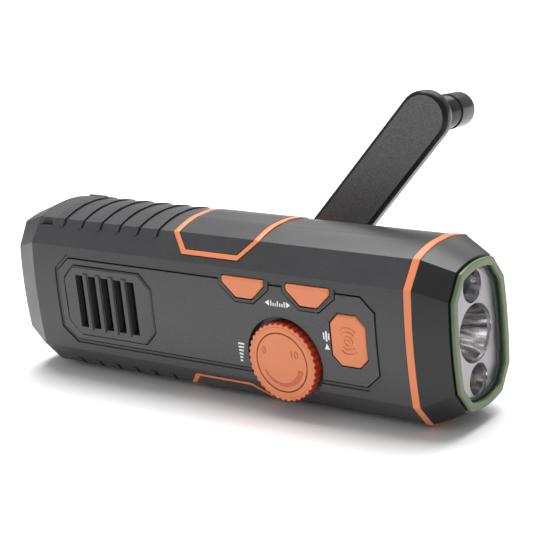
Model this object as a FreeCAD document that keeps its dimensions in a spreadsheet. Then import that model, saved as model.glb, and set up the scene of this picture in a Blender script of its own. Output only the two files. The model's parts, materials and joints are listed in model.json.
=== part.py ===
import FreeCAD, Part
import math
import os
import re
import Sketcher

# Emergency radio with a hand crank, a torch head and a siren. Millimetres.
# +X runs along the body to the torch lens, -Y is the face with the controls, +Z is up.
# The origin is on the rest face under the middle of the body.

doc = FreeCAD.newDocument("emergency_radio")
Vector = FreeCAD.Vector

# ---------------------------------------------------------------- driving dimensions
SIZES = {
    # housing: length, the two tapers and the cross-section (half sizes from the body axis)
    "body_length": 180.0,
    "tail_taper": 11.0,
    "nose_taper": 11.6,
    "axis_height": 29.15,
    "face_half": 19.65,
    "face_bulge": 1.1,
    "face_height": 18.8,
    "side_half": 13.3,
    "side_height": 26.55,
    "side_bulge": 2.3,
    "tail_face_half": 15.2,
    "tail_face_height": 15.0,
    "tail_side_half": 10.4,
    "tail_side_height": 22.9,
    "nose_face_half": 14.9,
    "nose_face_height": 14.5,
    "nose_side_half": 9.5,
    "nose_side_height": 22.0,
    "end_face_bulge": 0.8,
    "end_side_bulge": 1.5,
    "wall": 2.0,
    "front_wall": 2.85,
    "crease_shift_face": 0.36,
    "crease_shift_side": 0.47,
    "seam_offset": 2.3,
    "crest": 0.25,
    "crest_apex": 0.15,
    # grip ribs
    "rib_first": 22.8,
    "rib_pitch": 8.5,
    "rib_width": 1.5,
    "rib_foot": 24.3,
    "groove_width": 0.8,
    "groove_depth": 0.7,
    "ring_groove": 0.35,
    # saddle inlay and its trim band
    "saddle_depth": 1.2,
    "saddle_top_half": 17.8,
    "saddle_foot_half": 11.6,
    "saddle_foot": 20.9,
    "trim_width": 2.25,
    "trim_foot_width": 1.3,
    "trim_foot_draw": 0.8,
    "inlay_gap": 0.2,
    # head ring, bezel and torch
    "ring_width": 2.6,
    "ring_wall": 1.9,
    "collar_length": 6.0,
    "collar_wall": 1.4,
    "bezel_wall": 2.2,
    "glow_width": 1.3,
    "glow_border": 2.6,
    "lens_thickness": 1.5,
    "lens_set_back": 0.5,
    "gasket_thickness": 0.6,
    "reflector_plate": 1.2,
    "main_cup_radius": 9.4,
    "main_cup_depth": 17.0,
    "side_cup_radius": 5.3,
    "side_cup_depth": 10.0,
    "side_cup_spacing": 15.2,
    "cup_throat": 3.4,
    "side_cup_throat": 2.6,
    "cup_wall": 0.9,
    "led_board_thickness": 1.6,
    "led_board_half": 9.5,
    "led_board_height": 19.5,
    "main_led_size": 5.0,
    "side_led_radius": 2.4,
    "led_height": 2.4,
    # control panel
    "panel_left": 67.6,
    "panel_right": 64.8,
    "panel_half": 14.75,
    "panel_end_half": 10.2,
    "panel_cut": 5.2,
    "panel_recess": 1.35,
    "panel_set": 0.15,
    "border_width": 1.3,
    "border_depth": 0.45,
    "outline_draw": 0.41,
    "panel_gap": 0.2,
    "fit_gap": 0.12,
    # speaker grille
    "grille_centre": -45.0,
    "grille_half": 19.7,
    "grille_height": 12.5,
    "grille_cut": 4.8,
    "grille_lip": 2.4,
    "grille_proud": 0.15,
    "slot_pitch": 5.83,
    "slot_width": 3.4,
    "slot_half": 9.4,
    "slot_shift": -0.6,
    "cloth_thickness": 0.3,
    "speaker_radius": 14.0,
    "speaker_depth": 7.0,
    "cone_radius": 11.2,
    "surround_radius": 12.0,
    "magnet_radius": 8.0,
    "magnet_depth": 4.0,
    # buttons
    "tuning_down_centre": 14.5,
    "tuning_up_centre": 40.1,
    "tuning_top": 16.1,
    "tuning_shoulder": 14.1,
    "tuning_foot": 9.3,
    "tuning_top_half": 8.3,
    "tuning_foot_half": 3.25,
    "notch_margin": 1.8,
    "notch_foot_margin": 0.45,
    "notch_drop": 1.4,
    "notch_shoulder": 13.1,
    "siren_centre": 54.45,
    "siren_half": 6.65,
    "siren_height": 8.5,
    "siren_cut": 3.2,
    "light_centre": 63.8,
    "light_radius": 4.0,
    "button_proud": 1.2,
    "button_gap": 0.3,
    "button_flange": 1.0,
    "button_flange_lip": 0.9,
    "button_travel": 0.8,
    "button_edge": 0.5,
    "switch_size": 6.0,
    "switch_height": 3.4,
    # volume dial
    "dial_centre": 28.6,
    "dial_drop": 10.1,
    "dial_radius": 13.2,
    "dial_well_gap": 1.5,
    "dial_well_depth": 1.65,
    "dial_proud": 1.6,
    "dial_floor_gap": 0.35,
    "dial_notches": 36,
    "dial_notch_radius": 0.8,
    "dial_hub_radius": 5.0,
    "dial_hub_length": 3.8,
    "shaft_radius": 3.0,
    "running_gap": 0.05,
    "free_gap": 0.3,
    "pot_radius": 8.5,
    "pot_depth": 4.0,
    # electronics
    "board_thickness": 1.6,
    "board_left": 4.0,
    "board_right": 57.8,
    "board_half": 20.0,
    "battery_height": 34.0,
    "battery_thickness": 10.0,
    "battery_right": 0.0,
    "battery_gap": 0.7,
    "battery_clear": 0.4,
    "ferrite_radius": 3.5,
    "ferrite_drop": 21.7,
    "coil_radius": 4.3,
    "coil_length": 16.0,
    # crank
    "hub_centre": 3.0,
    "hub_radius": 12.0,
    "hub_recess": 1.45,
    "hub_proud": 1.45,
    "spindle_radius": 4.0,
    "bush_wall": 1.5,
    "bush_inset": 1.0,
    "crank_angle": 49.8,
    "crank_lean": 10.0,
    "hinge_offset": 7.5,
    "hinge_radius": 2.6,
    "hinge_pin_radius": 1.25,
    "arm_thickness": 4.6,
    "arm_clear": 0.4,
    "arm_root_half": 4.75,
    "ear_thickness": 2.75,
    "arm_reach": 75.5,
    "arm_half": 8.8,
    "arc_flat": 0.01,
    "arm_shoulder": 13.5,
    "arm_edge": 1.1,
    "knob_pin_radius": 2.0,
    "knob_pin_head": 3.0,
    "knob_neck_radius": 5.65,
    "knob_radius": 6.0,
    "knob_length": 24.5,
    "knob_neck": 13.0,
    "knob_round": 2.2,
    "knob_cap_depth": 2.0,
    "pocket_radius": 7.6,
    "pocket_sweep": 3.0,
    "pocket_wall": 1.2,
    # gear train
    "gear_width": 3.0,
    "crank_teeth": 40,
    "idler_pinion_teeth": 12,
    "first_module": 0.8,
    "idler_wheel_teeth": 36,
    "generator_teeth": 12,
    "second_module": 0.6,
    "idler_wheel_width": 2.4,
    "idler_shaft_radius": 1.5,
    "generator_shaft_radius": 1.0,
    "generator_radius": 11.0,
    "generator_length": 11.5,
    "gear_clear": 1.2,
    "plate_thickness": 1.2,
    "plate_left": 17.0,
    "plate_right": 52.0,
    "plate_half": 18.0,
    "plate_post_inset": 2.9,
    "plate_post_radius": 2.4,
    # ports and their cover
    "port_left": 78.8,
    "port_width": 7.6,
    "port_cover_depth": 1.5,
    "port_cover_foot": 24.2,
    "port_hinge": 12.2,
    "port_hinge_sink": 2.6,
    "port_barrel_radius": 1.3,
    "port_pin_radius": 0.6,
    "scoop_radius": 3.0,
    "usb_length": 13.1,
    "usb_width": 5.7,
    "usb_centre": -5.2,
    "usb_height": 12.0,
    "charge_length": 8.9,
    "charge_width": 3.2,
    "charge_centre": 6.2,
    "charge_height": 7.0,
    "port_board_thickness": 1.2,
    "port_board_half": 12.5,
    "socket_wall": 0.4,
    # solar panel
    "solar_left": 22.0,
    "solar_right": 58.0,
    "solar_half": 14.0,
    "solar_depth": 1.3,
    # fasteners
    "post_radius": 3.0,
    "screw_radius": 1.3,
    "screw_head_radius": 2.4,
    "screw_head": 1.6,
    "screw_sink": 3.2,
    "screw_length": 24.0,
    "waist_post_x": 54.0,
    "waist_post_z": 15.2,
    "neck_post_x": 61.2,
    "neck_post_z": 13.0,
    "tail_post_inset": 8.0,
}

sheet = doc.addObject("Spreadsheet::Sheet", "Spec")
for row, (name, value) in enumerate(SIZES.items(), start=1):
    sheet.set("A%d" % row, name)
    sheet.set("B%d" % row, str(value))
    sheet.setAlias("B%d" % row, name)
doc.recompute()

# ---------------------------------------------------------------- shared places
NOSE = "(body_length / 2)"
TAIL = "(-body_length / 2)"
RING_BACK = "(body_length / 2 - nose_taper - ring_width)"
RING_FRONT = "(body_length / 2 - nose_taper)"
TAIL_BREAK = "(tail_taper - body_length / 2)"
INNER_FACE = "(face_half - front_wall)"
PANEL_FLOOR = "(face_half - panel_recess)"
FLANGE_FRONT = "(face_half - front_wall - running_gap)"
FLANGE_BACK = "(face_half - front_wall - running_gap - button_flange)"
BOARD_FRONT = "(face_half - front_wall - 2 * running_gap - button_flange - button_travel - switch_height)"
BOARD_BACK = "(face_half - front_wall - 2 * running_gap - button_flange - button_travel - switch_height" \
    " - board_thickness)"
CAP_FRONT = "(face_half + button_proud)"
DIAL_FLOOR = "(face_half - dial_well_depth)"
DIAL_BACK = "(face_half - dial_well_depth + dial_floor_gap)"
DIAL_FRONT = "(face_half + face_bulge + dial_proud)"
HUB_FLOOR = "(face_half - hub_recess)"
HUB_BACK = "(face_half - hub_recess + 4 * running_gap)"
HUB_FRONT = "(face_half + face_bulge + hub_proud)"
ARM_FRONT = "(face_half + face_bulge + hub_proud + arm_clear)"
ARM_MID = "(face_half + face_bulge + hub_proud + arm_clear + arm_thickness / 2)"
ARM_BACK = "(face_half + face_bulge + hub_proud + arm_clear + arm_thickness)"
KNOB_FRONT = "(face_half + face_bulge + hub_proud + 2 * arm_clear + arm_thickness)"
KNOB_BACK = "(face_half + face_bulge + hub_proud + 2 * arm_clear + arm_thickness + knob_length)"
CRANK_GEAR_TOP = "(face_half - front_wall - bush_inset - arm_clear)"
CRANK_GEAR_FOOT = "(face_half - front_wall - bush_inset - arm_clear - gear_width)"
WHEEL_TOP = "(face_half - front_wall - bush_inset - arm_clear - gear_width - gear_clear)"
WHEEL_FOOT = "(face_half - front_wall - bush_inset - arm_clear - gear_width - gear_clear" \
    " - idler_wheel_width)"
PLATE_TOP = "(face_half - front_wall - bush_inset - arm_clear - gear_width - gear_clear" \
    " - idler_wheel_width - gear_clear)"
PLATE_FOOT = "(face_half - front_wall - bush_inset - arm_clear - gear_width - gear_clear" \
    " - idler_wheel_width - gear_clear - plate_thickness)"
IDLER_X = "(hub_centre + first_module * (crank_teeth + idler_pinion_teeth) / 2)"
GENERATOR_X = "(hub_centre + first_module * (crank_teeth + idler_pinion_teeth) / 2" \
    " + second_module * (idler_wheel_teeth + generator_teeth) / 2)"
LENS_FRONT = "(body_length / 2 - lens_set_back)"
LENS_BACK = "(body_length / 2 - lens_set_back - lens_thickness)"
GASKET_BACK = "(body_length / 2 - lens_set_back - lens_thickness - gasket_thickness)"
PLATE_BACK = "(body_length / 2 - lens_set_back - lens_thickness - gasket_thickness - reflector_plate)"
LED_BOARD_FRONT = "(body_length / 2 - lens_set_back - lens_thickness - gasket_thickness" \
    " - reflector_plate - main_cup_depth - led_height)"
PORT_MIDDLE = "(port_left - port_width / 2)"
PORT_HINGE_Z = "(side_height + side_bulge - port_hinge_sink)"
POCKET_X = "(hub_centre - arm_reach + 2 * hinge_offset)"
POCKET_LEFT = "(hub_centre - arm_reach + 2 * hinge_offset - pocket_sweep)"
POCKET_FLOOR = "(2 * (face_half + face_bulge + hub_proud + arm_clear + arm_thickness / 2)" \
    " - (face_half + face_bulge + hub_proud + 2 * arm_clear + arm_thickness + knob_length)" \
    " - 2 * free_gap)"
BATTERY_LEFT = "(hub_centre - arm_reach + 2 * hinge_offset + pocket_radius + pocket_wall + battery_gap)"
SPEAKER_FRONT = "(face_half - front_wall - cloth_thickness)"


def spelled(expression):
    """The expression with every size name pointing at its cell in the sheet."""
    return re.sub(r"[a-z][a-z_]+", lambda m: "Spec." + m.group(0) if m.group(0) in SIZES else m.group(0),
                  str(expression))


def size(expression):
    """The number that an expression gives now."""
    value = sheet.evalExpression(spelled(expression))
    return float(getattr(value, "Value", value))


def bind(item, prop, expression):
    item.setExpression(prop, spelled(expression))


# ---------------------------------------------------------------- sketches and simple solids
TURN = {
    "XY": FreeCAD.Rotation(),
    "XZ": FreeCAD.Rotation(Vector(1, 0, 0), 90),
    "YZ": FreeCAD.Rotation(Vector(1, 1, 1), 120),
}


def outline(sketch, points, arcs=None):
    """Closes a loop through the points, anticlockwise. arcs gives an edge a (half chord, bulge)."""
    arcs = arcs or {}
    places = [Vector(size(u), size(v), 0) for u, v in points]
    count = len(places)
    first = sketch.GeometryCount
    for i in range(count):
        start, end = places[i], places[(i + 1) % count]
        if i in arcs:
            along = (end - start).normalize()
            middle = (start + end) * 0.5 + Vector(along.y, -along.x, 0) * size(arcs[i][1])
            sketch.addGeometry(Part.Arc(start, middle, end))
        else:
            sketch.addGeometry(Part.LineSegment(start, end))
    for i in range(count):
        here, after = first + i, first + (i + 1) % count
        sketch.addConstraint(Sketcher.Constraint("Coincident", here, 2, after, 1))
        for kind, expression in zip(("DistanceX", "DistanceY"), points[i]):
            at = sketch.addConstraint(Sketcher.Constraint(kind, here, 1, size(expression)))
            bind(sketch, "Constraints[%d]" % at, expression)
        if i in arcs:
            half, bulge = arcs[i]
            radius = "(((%s)^2 + (%s)^2) / (2 * (%s)))" % (half, bulge, bulge)
            at = sketch.addConstraint(Sketcher.Constraint("Radius", here, size(radius)))
            bind(sketch, "Constraints[%d]" % at, radius)


def ring(sketch, centre, radius):
    """A full circle at a bound place with a bound radius."""
    middle = Vector(size(centre[0]), size(centre[1]), 0)
    here = sketch.addGeometry(Part.Circle(middle, Vector(0, 0, 1), size(radius)))
    for kind, expression in zip(("DistanceX", "DistanceY"), centre):
        at = sketch.addConstraint(Sketcher.Constraint(kind, here, 3, size(expression)))
        bind(sketch, "Constraints[%d]" % at, expression)
    at = sketch.addConstraint(Sketcher.Constraint("Radius", here, size(radius)))
    bind(sketch, "Constraints[%d]" % at, radius)


def free_sketch(name, plane, start):
    """A sketch on its own, at a bound distance along the plane's normal."""
    sketch = doc.addObject("Sketcher::SketchObject", name)
    normal = TURN[plane].multVec(Vector(0, 0, 1))
    sketch.Placement = FreeCAD.Placement(Vector(), TURN[plane])
    for axis, part in zip("xyz", normal):
        if abs(part) > 0.5:
            bind(sketch, "Placement.Base." + axis, "%d * (%s)" % (round(part), start))
    return sketch


def prism(name, plane, start, length, loops, circles=()):
    """A straight solid on a plane: loops are outlines or (outline, arcs), circles are (centre, radius)."""
    sketch = free_sketch(name + "_outline", plane, start)
    for loop in loops:
        outline(sketch, *(loop if isinstance(loop, tuple) else (loop,)))
    for centre, radius in circles:
        ring(sketch, centre, radius)
    solid = doc.addObject("Part::Extrusion", name)
    solid.Base = sketch
    solid.DirMode = "Normal"
    solid.Solid = True
    bind(solid, "LengthFwd", length)
    return solid


def block(name, low, high):
    """A box between two corners."""
    solid = doc.addObject("Part::Box", name)
    for axis, prop, a, b in zip("xyz", ("Length", "Width", "Height"), low, high):
        bind(solid, prop, "(%s) - (%s)" % (b, a))
        bind(solid, "Placement.Base." + axis, a)
    return solid


AIM = {
    "x": FreeCAD.Rotation(Vector(0, 1, 0), 90),
    "y": FreeCAD.Rotation(Vector(1, 0, 0), -90),
    "z": FreeCAD.Rotation(),
}


def rod(name, axis, foot, radius, length, kind="Part::Cylinder"):
    """A cylinder from its foot centre along an axis."""
    solid = doc.addObject(kind, name)
    solid.Placement = FreeCAD.Placement(Vector(), AIM[axis])
    for letter, expression in zip("xyz", foot):
        bind(solid, "Placement.Base." + letter, expression)
    bind(solid, "Radius", radius)
    bind(solid, "Height", length)
    return solid


def cone(name, foot, radius_low, radius_high, length):
    """A cone along +X."""
    solid = doc.addObject("Part::Cone", name)
    solid.Placement = FreeCAD.Placement(Vector(), AIM["x"])
    for letter, expression in zip("xyz", foot):
        bind(solid, "Placement.Base." + letter, expression)
    bind(solid, "Radius1", radius_low)
    bind(solid, "Radius2", radius_high)
    bind(solid, "Height", length)
    return solid


def fuse(name, *items):
    solid = doc.addObject("Part::MultiFuse", name)
    solid.Shapes = list(items)
    return solid


def cut(name, base, *tools):
    """The base with the tools taken away, one after another."""
    for i, tool in enumerate(tools):
        solid = doc.addObject("Part::Cut", name if i == len(tools) - 1 else "%s_cut_%d" % (name, i + 1))
        solid.Base = base
        solid.Tool = tool
        base = solid
    return base


def common(name, base, tool):
    solid = doc.addObject("Part::Common", name)
    solid.Base = base
    solid.Tool = tool
    return solid


def mirror(name, source):
    """The source mirrored through the body's mid-plane, from the upper side to the lower."""
    solid = doc.addObject("Part::Mirroring", name)
    solid.Source = source
    solid.Base = Vector(0, 0, 0)
    solid.Normal = Vector(0, 0, 1)
    return solid


nodes = {}


def place(item, label, lift="axis_height", x="0", z="0"):
    """Names a finished piece and sets it at its place over the rest face."""
    item.Label = label
    bind(item, "Placement.Base.z", "%s + (%s)" % (lift, z))
    if x != "0":
        bind(item, "Placement.Base.x", x)
    nodes[label] = item
    return item


def new_body(label):
    body = doc.addObject("PartDesign::Body", label)
    return body


def body_sketch(body, name, plane, start="0"):
    sketch = body.newObject("Sketcher::SketchObject", name)
    support = [f for f in body.Origin.OriginFeatures if f.Role == plane + "_Plane"][0]
    sketch.AttachmentSupport = [(support, "")]
    sketch.MapMode = "FlatFace"
    bind(sketch, "AttachmentOffset.Base.z", start)
    return sketch


def pad(body, name, plane, start, length, loops=(), circles=(), both=False):
    """A pad in a body from an outline at a bound distance along the plane's normal."""
    sketch = body_sketch(body, name + "_sketch", plane, start)
    for loop in loops:
        outline(sketch, *(loop if isinstance(loop, tuple) else (loop,)))
    for centre, radius in circles:
        ring(sketch, centre, radius)
    feature = body.newObject("PartDesign::Pad", name)
    feature.Profile = sketch
    if both:
        feature.Midplane = True
    bind(feature, "Length", length)
    doc.recompute()
    return feature


def pocket(body, name, plane, start, length, loops=(), circles=(), both=False):
    """A pocket in a body; it is turned round if it finds nothing to cut."""
    sketch = body_sketch(body, name + "_sketch", plane, start)
    for loop in loops:
        outline(sketch, *(loop if isinstance(loop, tuple) else (loop,)))
    for centre, radius in circles:
        ring(sketch, centre, radius)
    before = body.Shape.Volume
    feature = body.newObject("PartDesign::Pocket", name)
    feature.Profile = sketch
    if both:
        feature.Midplane = True
    bind(feature, "Length", length)
    doc.recompute()
    if abs(body.Shape.Volume - before) < 1e-6:
        feature.Reversed = True
        doc.recompute()
    return feature


def turned(label, profile, axis="V_Axis"):
    """A body turned about its own Y axis (V) or X axis (H) from a half profile."""
    body = new_body(label)
    sketch = body_sketch(body, label + "_profile", "XY")
    outline(sketch, profile)
    feature = body.newObject("PartDesign::Revolution", label + "_turn")
    feature.Profile = sketch
    feature.ReferenceAxis = (sketch, [axis])
    feature.Angle = 360.0
    doc.recompute()
    return body


def bevel(body, name, width, chosen):
    """Chamfers the edges of the body's tip that the test picks."""
    tip = body.Tip
    edges = ["Edge%d" % (i + 1) for i, edge in enumerate(tip.Shape.Edges) if chosen(edge)]
    feature = body.newObject("PartDesign::Chamfer", name)
    feature.Base = (tip, edges)
    bind(feature, "Size", width)
    doc.recompute()
    return feature


def on_plane(axis, expression):
    """A test for edges that lie in one plane across an axis."""
    where = size(expression)
    return lambda edge: all(abs(getattr(v.Point, axis) - where) < 1e-4 for v in edge.Vertexes) \
        and abs(getattr(edge.CenterOfMass, axis) - where) < 1e-4


# ---------------------------------------------------------------- outlines shared by several pieces
def section_points(face, face_height, side, side_height, grow="0"):
    """The eight creases of the housing's cross-section in Y and Z, moved outwards by grow."""
    y_face = "((%s) + (%s))" % (face, grow)
    z_face = "((%s) + (%s) * crease_shift_face)" % (face_height, grow)
    y_side = "((%s) + (%s) * crease_shift_side)" % (side, grow)
    z_side = "((%s) + (%s))" % (side_height, grow)
    return [
        (y_face, "-" + z_face), (y_face, z_face),
        (y_side, z_side), ("-" + y_side, z_side),
        ("-" + y_face, z_face), ("-" + y_face, "-" + z_face),
        ("-" + y_side, "-" + z_side), (y_side, "-" + z_side),
    ]


def section(face, face_height, side, side_height, face_bulge, side_bulge, grow="0"):
    points = section_points(face, face_height, side, side_height, grow)
    z_face, y_side = points[1][1], points[2][0]
    arcs = {0: (z_face, face_bulge), 2: (y_side, side_bulge), 4: (z_face, face_bulge), 6: (y_side, side_bulge)}
    if face_bulge == "0":
        arcs = {2: arcs[2], 6: arcs[6]}
    return points, arcs


MAIN = ("face_half", "face_height", "side_half", "side_height")
TAIL_END = ("tail_face_half", "tail_face_height", "tail_side_half", "tail_side_height")
NOSE_END = ("nose_face_half", "nose_face_height", "nose_side_half", "nose_side_height")


def main_section(grow="0", side_bulge="side_bulge"):
    return section(*MAIN, "face_bulge", side_bulge, grow)


def loft(name, ends):
    """A ruled solid between two outlines: (distance along X, outline and arcs)."""
    sections = []
    for i, (where, (points, arcs)) in enumerate(ends):
        sketch = free_sketch("%s_end_%d" % (name, i + 1), "YZ", where)
        outline(sketch, points, arcs)
        sections.append(sketch)
    solid = doc.addObject("Part::Loft", name)
    solid.Sections = sections
    solid.Solid = True
    solid.Ruled = True
    return solid


def cut_corner_box(left, right, half, end_half, corner, grow="0"):
    """An octagon: a rectangle with its four corners cut, moved outwards by grow."""
    x_left, x_right = "((%s) - (%s))" % (left, grow), "((%s) + (%s))" % (right, grow)
    x_in_left = "((%s) + (%s) - (%s) * outline_draw)" % (left, corner, grow)
    x_in_right = "((%s) - (%s) + (%s) * outline_draw)" % (right, corner, grow)
    z_top, z_end = "((%s) + (%s))" % (half, grow), "((%s) + (%s) * outline_draw)" % (end_half, grow)
    return [
        (x_left, "-" + z_end), (x_in_left, "-" + z_top), (x_in_right, "-" + z_top), (x_right, "-" + z_end),
        (x_right, z_end), (x_in_right, z_top), (x_in_left, z_top), (x_left, z_end),
    ]


def tuning_outline(centre, grow="0"):
    """The trapezoid of a tuning button, long side up."""
    top_half, foot_half = "(tuning_top_half + (%s))" % grow, "(tuning_foot_half + (%s) * outline_draw)" % grow
    return [
        (centre + " - " + foot_half, "tuning_foot - (%s)" % grow),
        (centre + " + " + foot_half, "tuning_foot - (%s)" % grow),
        (centre + " + " + top_half, "tuning_shoulder - (%s) * outline_draw" % grow),
        (centre + " + " + top_half, "tuning_top + (%s)" % grow),
        (centre + " - " + top_half, "tuning_top + (%s)" % grow),
        (centre + " - " + top_half, "tuning_shoulder - (%s) * outline_draw" % grow),
    ]


def siren_outline(grow="0"):
    return cut_corner_box("siren_centre - siren_half", "siren_centre + siren_half", "siren_height",
                          "siren_height - siren_cut", "siren_cut", grow)


def grille_outline(grow="0"):
    return cut_corner_box("grille_centre - grille_half", "grille_centre + grille_half", "grille_height",
                          "grille_height - grille_cut", "grille_cut", grow)


def panel_outline(grow="0", notched=True):
    """The control panel's edge, with a notch above each tuning button."""
    edge = cut_corner_box("-panel_left", "panel_right", "panel_half", "panel_end_half", "panel_cut", grow)
    if not notched:
        return edge
    notches = []
    for centre in ("tuning_up_centre", "tuning_down_centre"):
        wide = "(tuning_top_half + notch_margin - (%s))" % grow
        narrow = "(tuning_foot_half + notch_foot_margin - (%s) * outline_draw)" % grow
        floor = "tuning_foot - notch_drop + (%s)" % grow
        shoulder = "notch_shoulder + (%s) * outline_draw" % grow
        top = "(panel_half + (%s))" % grow
        notches += [
            (centre + " + " + wide, top), (centre + " + " + wide, shoulder),
            (centre + " + " + narrow, floor), (centre + " - " + narrow, floor),
            (centre + " - " + wide, shoulder), (centre + " - " + wide, top),
        ]
    return edge[:6] + notches + edge[6:]


def saddle_outline(inset="0", foot_inset="0", draw="0"):
    """Side view of the saddle zone, from its foot on the chamfer to above the crest."""
    foot_half = "(saddle_foot_half - (%s))" % draw
    top_half = "(saddle_top_half - (%s))" % inset
    foot = "saddle_foot + (%s)" % foot_inset
    high = "side_height + side_bulge + 10 * crest"
    return [
        ("-" + foot_half, foot), (foot_half, foot), (top_half, "side_height"),
        (top_half, high), ("-" + top_half, high), ("-" + top_half, "side_height"),
    ]


# ---------------------------------------------------------------- housing
FAR = "(3 * face_half)"
main_outer = prism("main_outer", "YZ", TAIL_BREAK, RING_BACK + " - " + TAIL_BREAK, [main_section()])
tail_outer = loft("tail_outer", [
    (TAIL, section(*TAIL_END, "end_face_bulge", "end_side_bulge")),
    (TAIL_BREAK, main_section()),
])

# The crest body is the outline that ribs, inlays and the head ring rise to. Its upper and lower
# sides are cut flat at the rest height, so that the radio lies on flat strips.
crest_solid = prism("crest_solid", "YZ", TAIL_BREAK, NOSE + " - " + TAIL_BREAK,
                    [main_section("crest", "(axis_height + crest_apex - side_height - crest)")])
rest_slab = block("rest_slab", (TAIL, "-" + FAR, "-axis_height"), (NOSE, FAR, "axis_height"))
crest_body = common("crest_body", crest_solid, rest_slab)

rib_boxes, groove_boxes = [], []
for i in range(6):
    right = "(rib_first + %d * rib_pitch - body_length / 2)" % i
    for side, low, high in (("upper", "rib_foot", "axis_height"), ("lower", "-axis_height", "-rib_foot")):
        rib_boxes.append(block("rib_%s_%d" % (side, i + 1), (right + " - rib_width", "-" + FAR, low),
                               (right, FAR, high)))
        groove_boxes.append(block("groove_%s_%d" % (side, i + 1), (right, "-" + FAR, low),
                                  (right + " + groove_width", FAR, high)))
rib_zone = fuse("rib_zone", *rib_boxes)
ribs = common("ribs", crest_body, rib_zone)

# Shadow grooves: one along the right of each rib, and one all round behind the head ring.
groove_core = prism("groove_core", "YZ", TAIL, "body_length", [main_section("-groove_depth")])
groove_boxes.append(block("ring_groove_box", (RING_BACK + " - ring_groove", "-" + FAR, "-" + FAR),
                          (RING_BACK, FAR, FAR)))
grooves = cut("grooves", fuse("groove_zone", *groove_boxes), groove_core)

saddle_core = prism("saddle_core", "YZ", "-2 * saddle_top_half", "4 * saddle_top_half",
                    [main_section("-saddle_depth")])
upper_zone = prism("upper_zone", "XZ", "-" + FAR, "2 * " + FAR, [saddle_outline("-inlay_gap", "-inlay_gap",
                                                                          "-inlay_gap")])
lower_zone = mirror("lower_zone", upper_zone)
saddle_pockets = cut("saddle_pockets", fuse("saddle_zones", upper_zone, lower_zone), saddle_core)

outer = fuse("outer", main_outer, tail_outer, ribs)
cavity_main = prism("cavity_main", "YZ", TAIL_BREAK, NOSE + " - " + TAIL_BREAK,
                    [section("face_half - front_wall + wall", *MAIN[1:], "0", "side_bulge", "-wall")])
cavity_tail = loft("cavity_tail", [
    (TAIL + " + wall", section("tail_face_half - front_wall + wall", *TAIL_END[1:], "0", "end_side_bulge",
                               "-wall")),
    (TAIL_BREAK, section("face_half - front_wall + wall", *MAIN[1:], "0", "side_bulge", "-wall")),
])
cavity = fuse("cavity", cavity_main, cavity_tail)
hollow = cut("hollow", outer, saddle_pockets, grooves, cavity)

SEAM = "(-seam_offset)"
front_half = common("front_half", hollow, block("front_side", (TAIL, "-" + FAR, "-" + FAR), (NOSE, SEAM, FAR)))
back_half = common("back_half", hollow, block("back_side", (TAIL, SEAM, "-" + FAR), (NOSE, FAR, FAR)))

# Port opening: a slot across the upper side for the cover, and windows for the two sockets.
cover_zone = block("cover_zone", ("-port_left", "-side_half - 3 * port_cover_depth", "port_cover_foot - fit_gap"),
                   ("-port_left + port_width", "port_hinge + port_barrel_radius + free_gap",
                    "axis_height + crest"))
cover_floor = prism("cover_floor", "YZ", TAIL_BREAK, "2 * port_left - 2 * " + PORT_MIDDLE + " + port_width",
                    [main_section("-(port_cover_depth + free_gap)")])
cover_recess = cut("cover_recess", cover_zone, cover_floor)
cover_barrel_space = rod("cover_barrel_space", "x", ("-port_left", "port_hinge", PORT_HINGE_Z),
                         "port_barrel_radius + free_gap", "port_width")
usb_window = block("usb_window", ("-" + PORT_MIDDLE + " - usb_width / 2 - fit_gap",
                                  "usb_centre - usb_length / 2 - fit_gap", "rib_foot - 3 * wall"),
                   ("-" + PORT_MIDDLE + " + usb_width / 2 + fit_gap",
                    "usb_centre + usb_length / 2 + fit_gap", "axis_height"))
charge_window = block("charge_window", ("-" + PORT_MIDDLE + " - charge_width / 2 - fit_gap",
                                        "charge_centre - charge_length / 2 - fit_gap", "rib_foot - 3 * wall"),
                      ("-" + PORT_MIDDLE + " + charge_width / 2 + fit_gap",
                       "charge_centre + charge_length / 2 + fit_gap", "axis_height"))
port_opening = fuse("port_opening", cover_recess, cover_barrel_space, usb_window, charge_window)
pin_hole = rod("port_pin_hole", "x", ("-port_left - wall", "port_hinge", PORT_HINGE_Z),
               "port_pin_radius", "port_width + 2 * wall")

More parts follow.
